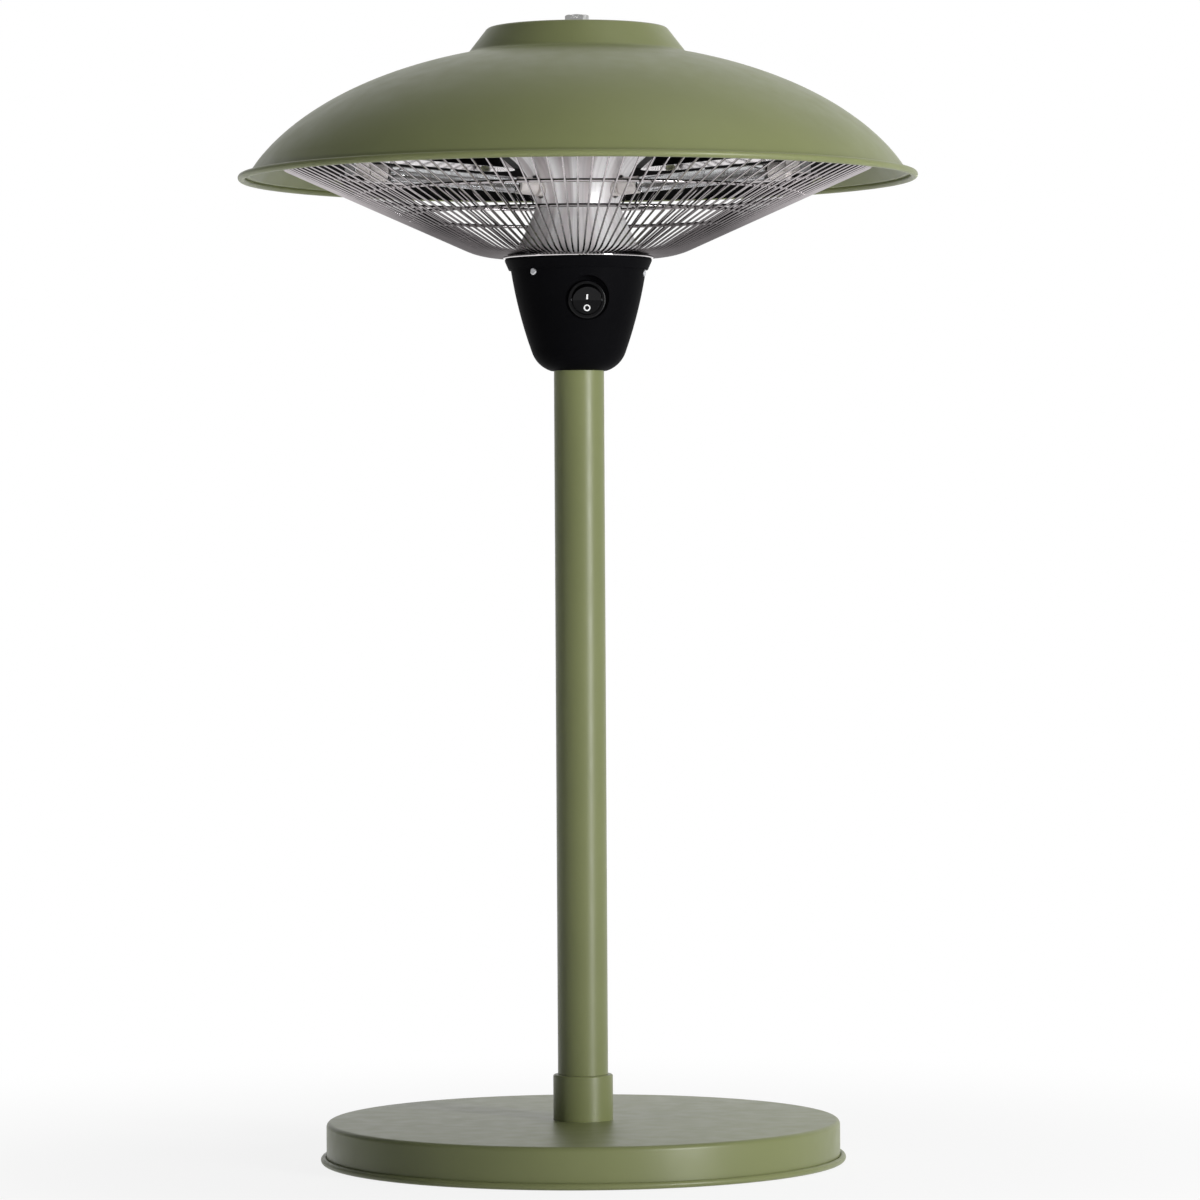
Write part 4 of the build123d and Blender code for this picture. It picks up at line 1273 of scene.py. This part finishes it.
@dataclass
class Studio:
    """Camera, pale floor and soft boxes.

    Attributes:
        axis_pixel: Column of the frame that the heater's axis falls in.
        horizon_pixel: Row of the frame at the camera's own height.
        floor_glow: Share of plain white that the camera sees on the floor under the heater, less than far
            away, which paints a shade round the heater.
        glow_run: Distances between which that share grows to all.
        shade_levels: Light that dull faces get from the room in front and from the sweep behind.
        gloss_levels: The same for what reflections see.
        sweep_towards: Direction of the sweep's middle.
        sweep_fade: How far towards it the room's light starts and stops to rise.
    """

    camera_distance: float = 3.405
    camera_height: float = 0.3809
    focal_pixels: float = 5437.0
    frame_pixels: float = 1200.0
    axis_pixel: float = 580.3
    horizon_pixel: float = 553.0
    roll: float = 0.33
    sensor: float = 36.0
    far: float = 100.0
    floor_size: float = 40.0
    floor_grey: Colour = (0.92, 0.92, 0.92)
    floor_glow: float = 0.86
    glow_run: Range = (0.20, 0.75)
    shade_levels: Range = (0.05, 0.85)
    gloss_levels: Range = (0.30, 1.0)
    sweep_towards: Point = (0.20, 0.96, 0.15)
    sweep_fade: Range = (0.45, 1.0)
    boxes: tuple[SoftBox, ...] = (
        SoftBox("key_right", (2.4, -2.3, 0.7), (0.0, 0.0, 0.35), (0.7, 1.4), 85.0),
        SoftBox("fill_left", (-2.8, -1.4, 0.9), (0.0, 0.0, 0.35), (0.5, 1.8), 2.0),
        SoftBox("top", (0.7, 0.2, 2.7), (0.0, 0.0, 0.3), (0.9, 0.9), 17.0, in_gloss=False),
        SoftBox("bounce_front", (0.0, -1.9, 0.12), (0.0, 0.0, 0.59), (0.9, 0.12), 0.15, 8.0, False),
    )

    def camera(self) -> None:
        """Set the camera where the photograph was taken from."""
        data = bpy.data.cameras.new("camera")
        data.sensor_width = self.sensor
        data.lens = self.sensor * self.focal_pixels / self.frame_pixels
        data.clip_end = self.far
        camera = bpy.data.objects.new("camera", data)
        bpy.context.scene.collection.objects.link(camera)
        middle = self.frame_pixels / 2
        right = math.atan((middle - self.axis_pixel) / self.focal_pixels)
        down = math.atan((middle - self.horizon_pixel) / self.focal_pixels)
        ahead = Vector((math.sin(right) * math.cos(down), math.cos(right) * math.cos(down), -math.sin(down)))
        camera.location = (0.0, -self.camera_distance, self.camera_height)
        camera.rotation_mode = "QUATERNION"
        level = ahead.to_track_quat("-Z", "Y")
        camera.rotation_quaternion = level @ Quaternion((0.0, 0.0, 1.0), math.radians(-self.roll))
        bpy.context.scene.camera = camera

    def room_light(self, wiring: Wiring, levels: Range) -> Socket:
        """Give the light of a room that rises from its front to the sweep behind the heater.

        Args:
            wiring: The world's nodes.
            levels: Light from the front and from the sweep.

        Returns:
            The shader's socket.
        """
        place = wiring.node("TexCoord", {}).outputs["Generated"]
        inputs = {0: place, 1: self.sweep_towards}
        toward = wiring.node("VectorMath", inputs, operation="DOT_PRODUCT").outputs["Value"]
        level = wiring.between(toward, levels, self.sweep_fade, "SMOOTHSTEP")
        return wiring.node("Background", {"Color": (*WHITE, 1.0), "Strength": level}).outputs[0]

    def world(self) -> None:
        """Surround the heater with a white sweep behind it and a dim room in front.

        The camera sees white all round, and so does light through glass. Gloss and shade see the
        white sweep behind the heater fade to the dim room that the photographer stands in.
        """
        world = bpy.data.worlds.new("studio")
        world.use_nodes = True
        wiring = Wiring(world.node_tree)
        shade = self.room_light(wiring, self.shade_levels)
        gloss = self.room_light(wiring, self.gloss_levels)
        plain = wiring.node("Background", {"Color": (*WHITE, 1.0)}).outputs[0]
        room = wiring.mixed(wiring.seen_by("Glossy"), shade, gloss)
        surface = wiring.mixed(wiring.seen_by("Camera", "Transmission"), room, plain)
        wiring.node("OutputWorld", {"Surface": surface})
        bpy.context.scene.world = world

    def floor_shine(self, wiring: Wiring) -> Socket:
        """Give the floor's share of plain white, which grows away from the heater until it is all, so that a
        painted shade lies round the heater.

        Args:
            wiring: The floor material's nodes.

        Returns:
            The share's socket.
        """
        place = wiring.node("TexCoord", {}).outputs["Object"]
        reach = wiring.node("VectorMath", {0: place}, operation="LENGTH").outputs["Value"]
        fade = wiring.between(reach, (self.floor_glow, 1.0), self.glow_run, "SMOOTHSTEP")
        return wiring.joined("MULTIPLY", wiring.seen_by("Camera", "Glossy", "Transmission"), fade)

    def floor(self) -> None:
        """Lay a pale floor under the heater that the camera sees as white, but for its shadow and a painted
        shade round the heater.
        """
        work = bmesh.new()
        bmesh.ops.create_grid(work, x_segments=1, y_segments=1, size=self.floor_size / 2)
        mesh = bpy.data.meshes.new("floor")
        work.to_mesh(mesh)
        work.free()
        floor = bpy.data.objects.new("floor", mesh)
        bpy.context.scene.collection.objects.link(floor)
        material = bpy.data.materials.new("pale_floor")
        material.use_nodes = True
        wiring = Wiring(material.node_tree)
        pale = wiring.node("BsdfDiffuse", {"Color": (*self.floor_grey, 1.0)}).outputs[0]
        glow = wiring.node("Emission", {"Color": (*WHITE, 1.0)}).outputs[0]
        surface = wiring.mixed(self.floor_shine(wiring), pale, glow)
        wiring.node("OutputMaterial", {"Surface": surface})
        mesh.materials.append(material)
        floor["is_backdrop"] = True

    def build(self) -> None:
        """Set up the studio."""
        self.camera()
        self.world()
        self.floor()
        for box in self.boxes:
            box.hang()


class PatioHeater(SubAssembly):
    """The whole heater, as its sub-assemblies in the order they stack up."""

    parts: tuple[type[SubAssembly], ...] = (
        WeightedBase, PoleStack, ControlHousing, PowerSwitch, TipOverSwitch,
        PolishedColumn, LinearLamps, WireGuard, SpunHood, PaintedShadeLiner)

    def build(self) -> None:
        """Build every sub-assembly."""
        for part in self.parts:
            LOG.info("building %s", part.__name__)
            part(self.heater).build()


def corners() -> list[list[float]]:
    """Give the shown object's lowest and highest corner as plain lists."""
    return [list(corner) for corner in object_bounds()]


def main() -> None:
    """Load the frame, dress it and set up the studio."""
    logging.basicConfig(level=logging.INFO, format="%(name)s: %(message)s")
    heater = Heater()
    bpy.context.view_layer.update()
    PatioHeater(heater).build()
    Studio().build()
    left = sorted(set(heater.nodes) - heater.dressed)
    if left:
        LOG.warning("not dressed: %s", ", ".join(left))
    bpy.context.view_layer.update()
    scene = bpy.context.scene
    scene.view_settings.view_transform = "Standard"


if __name__ == "__main__":
    main()
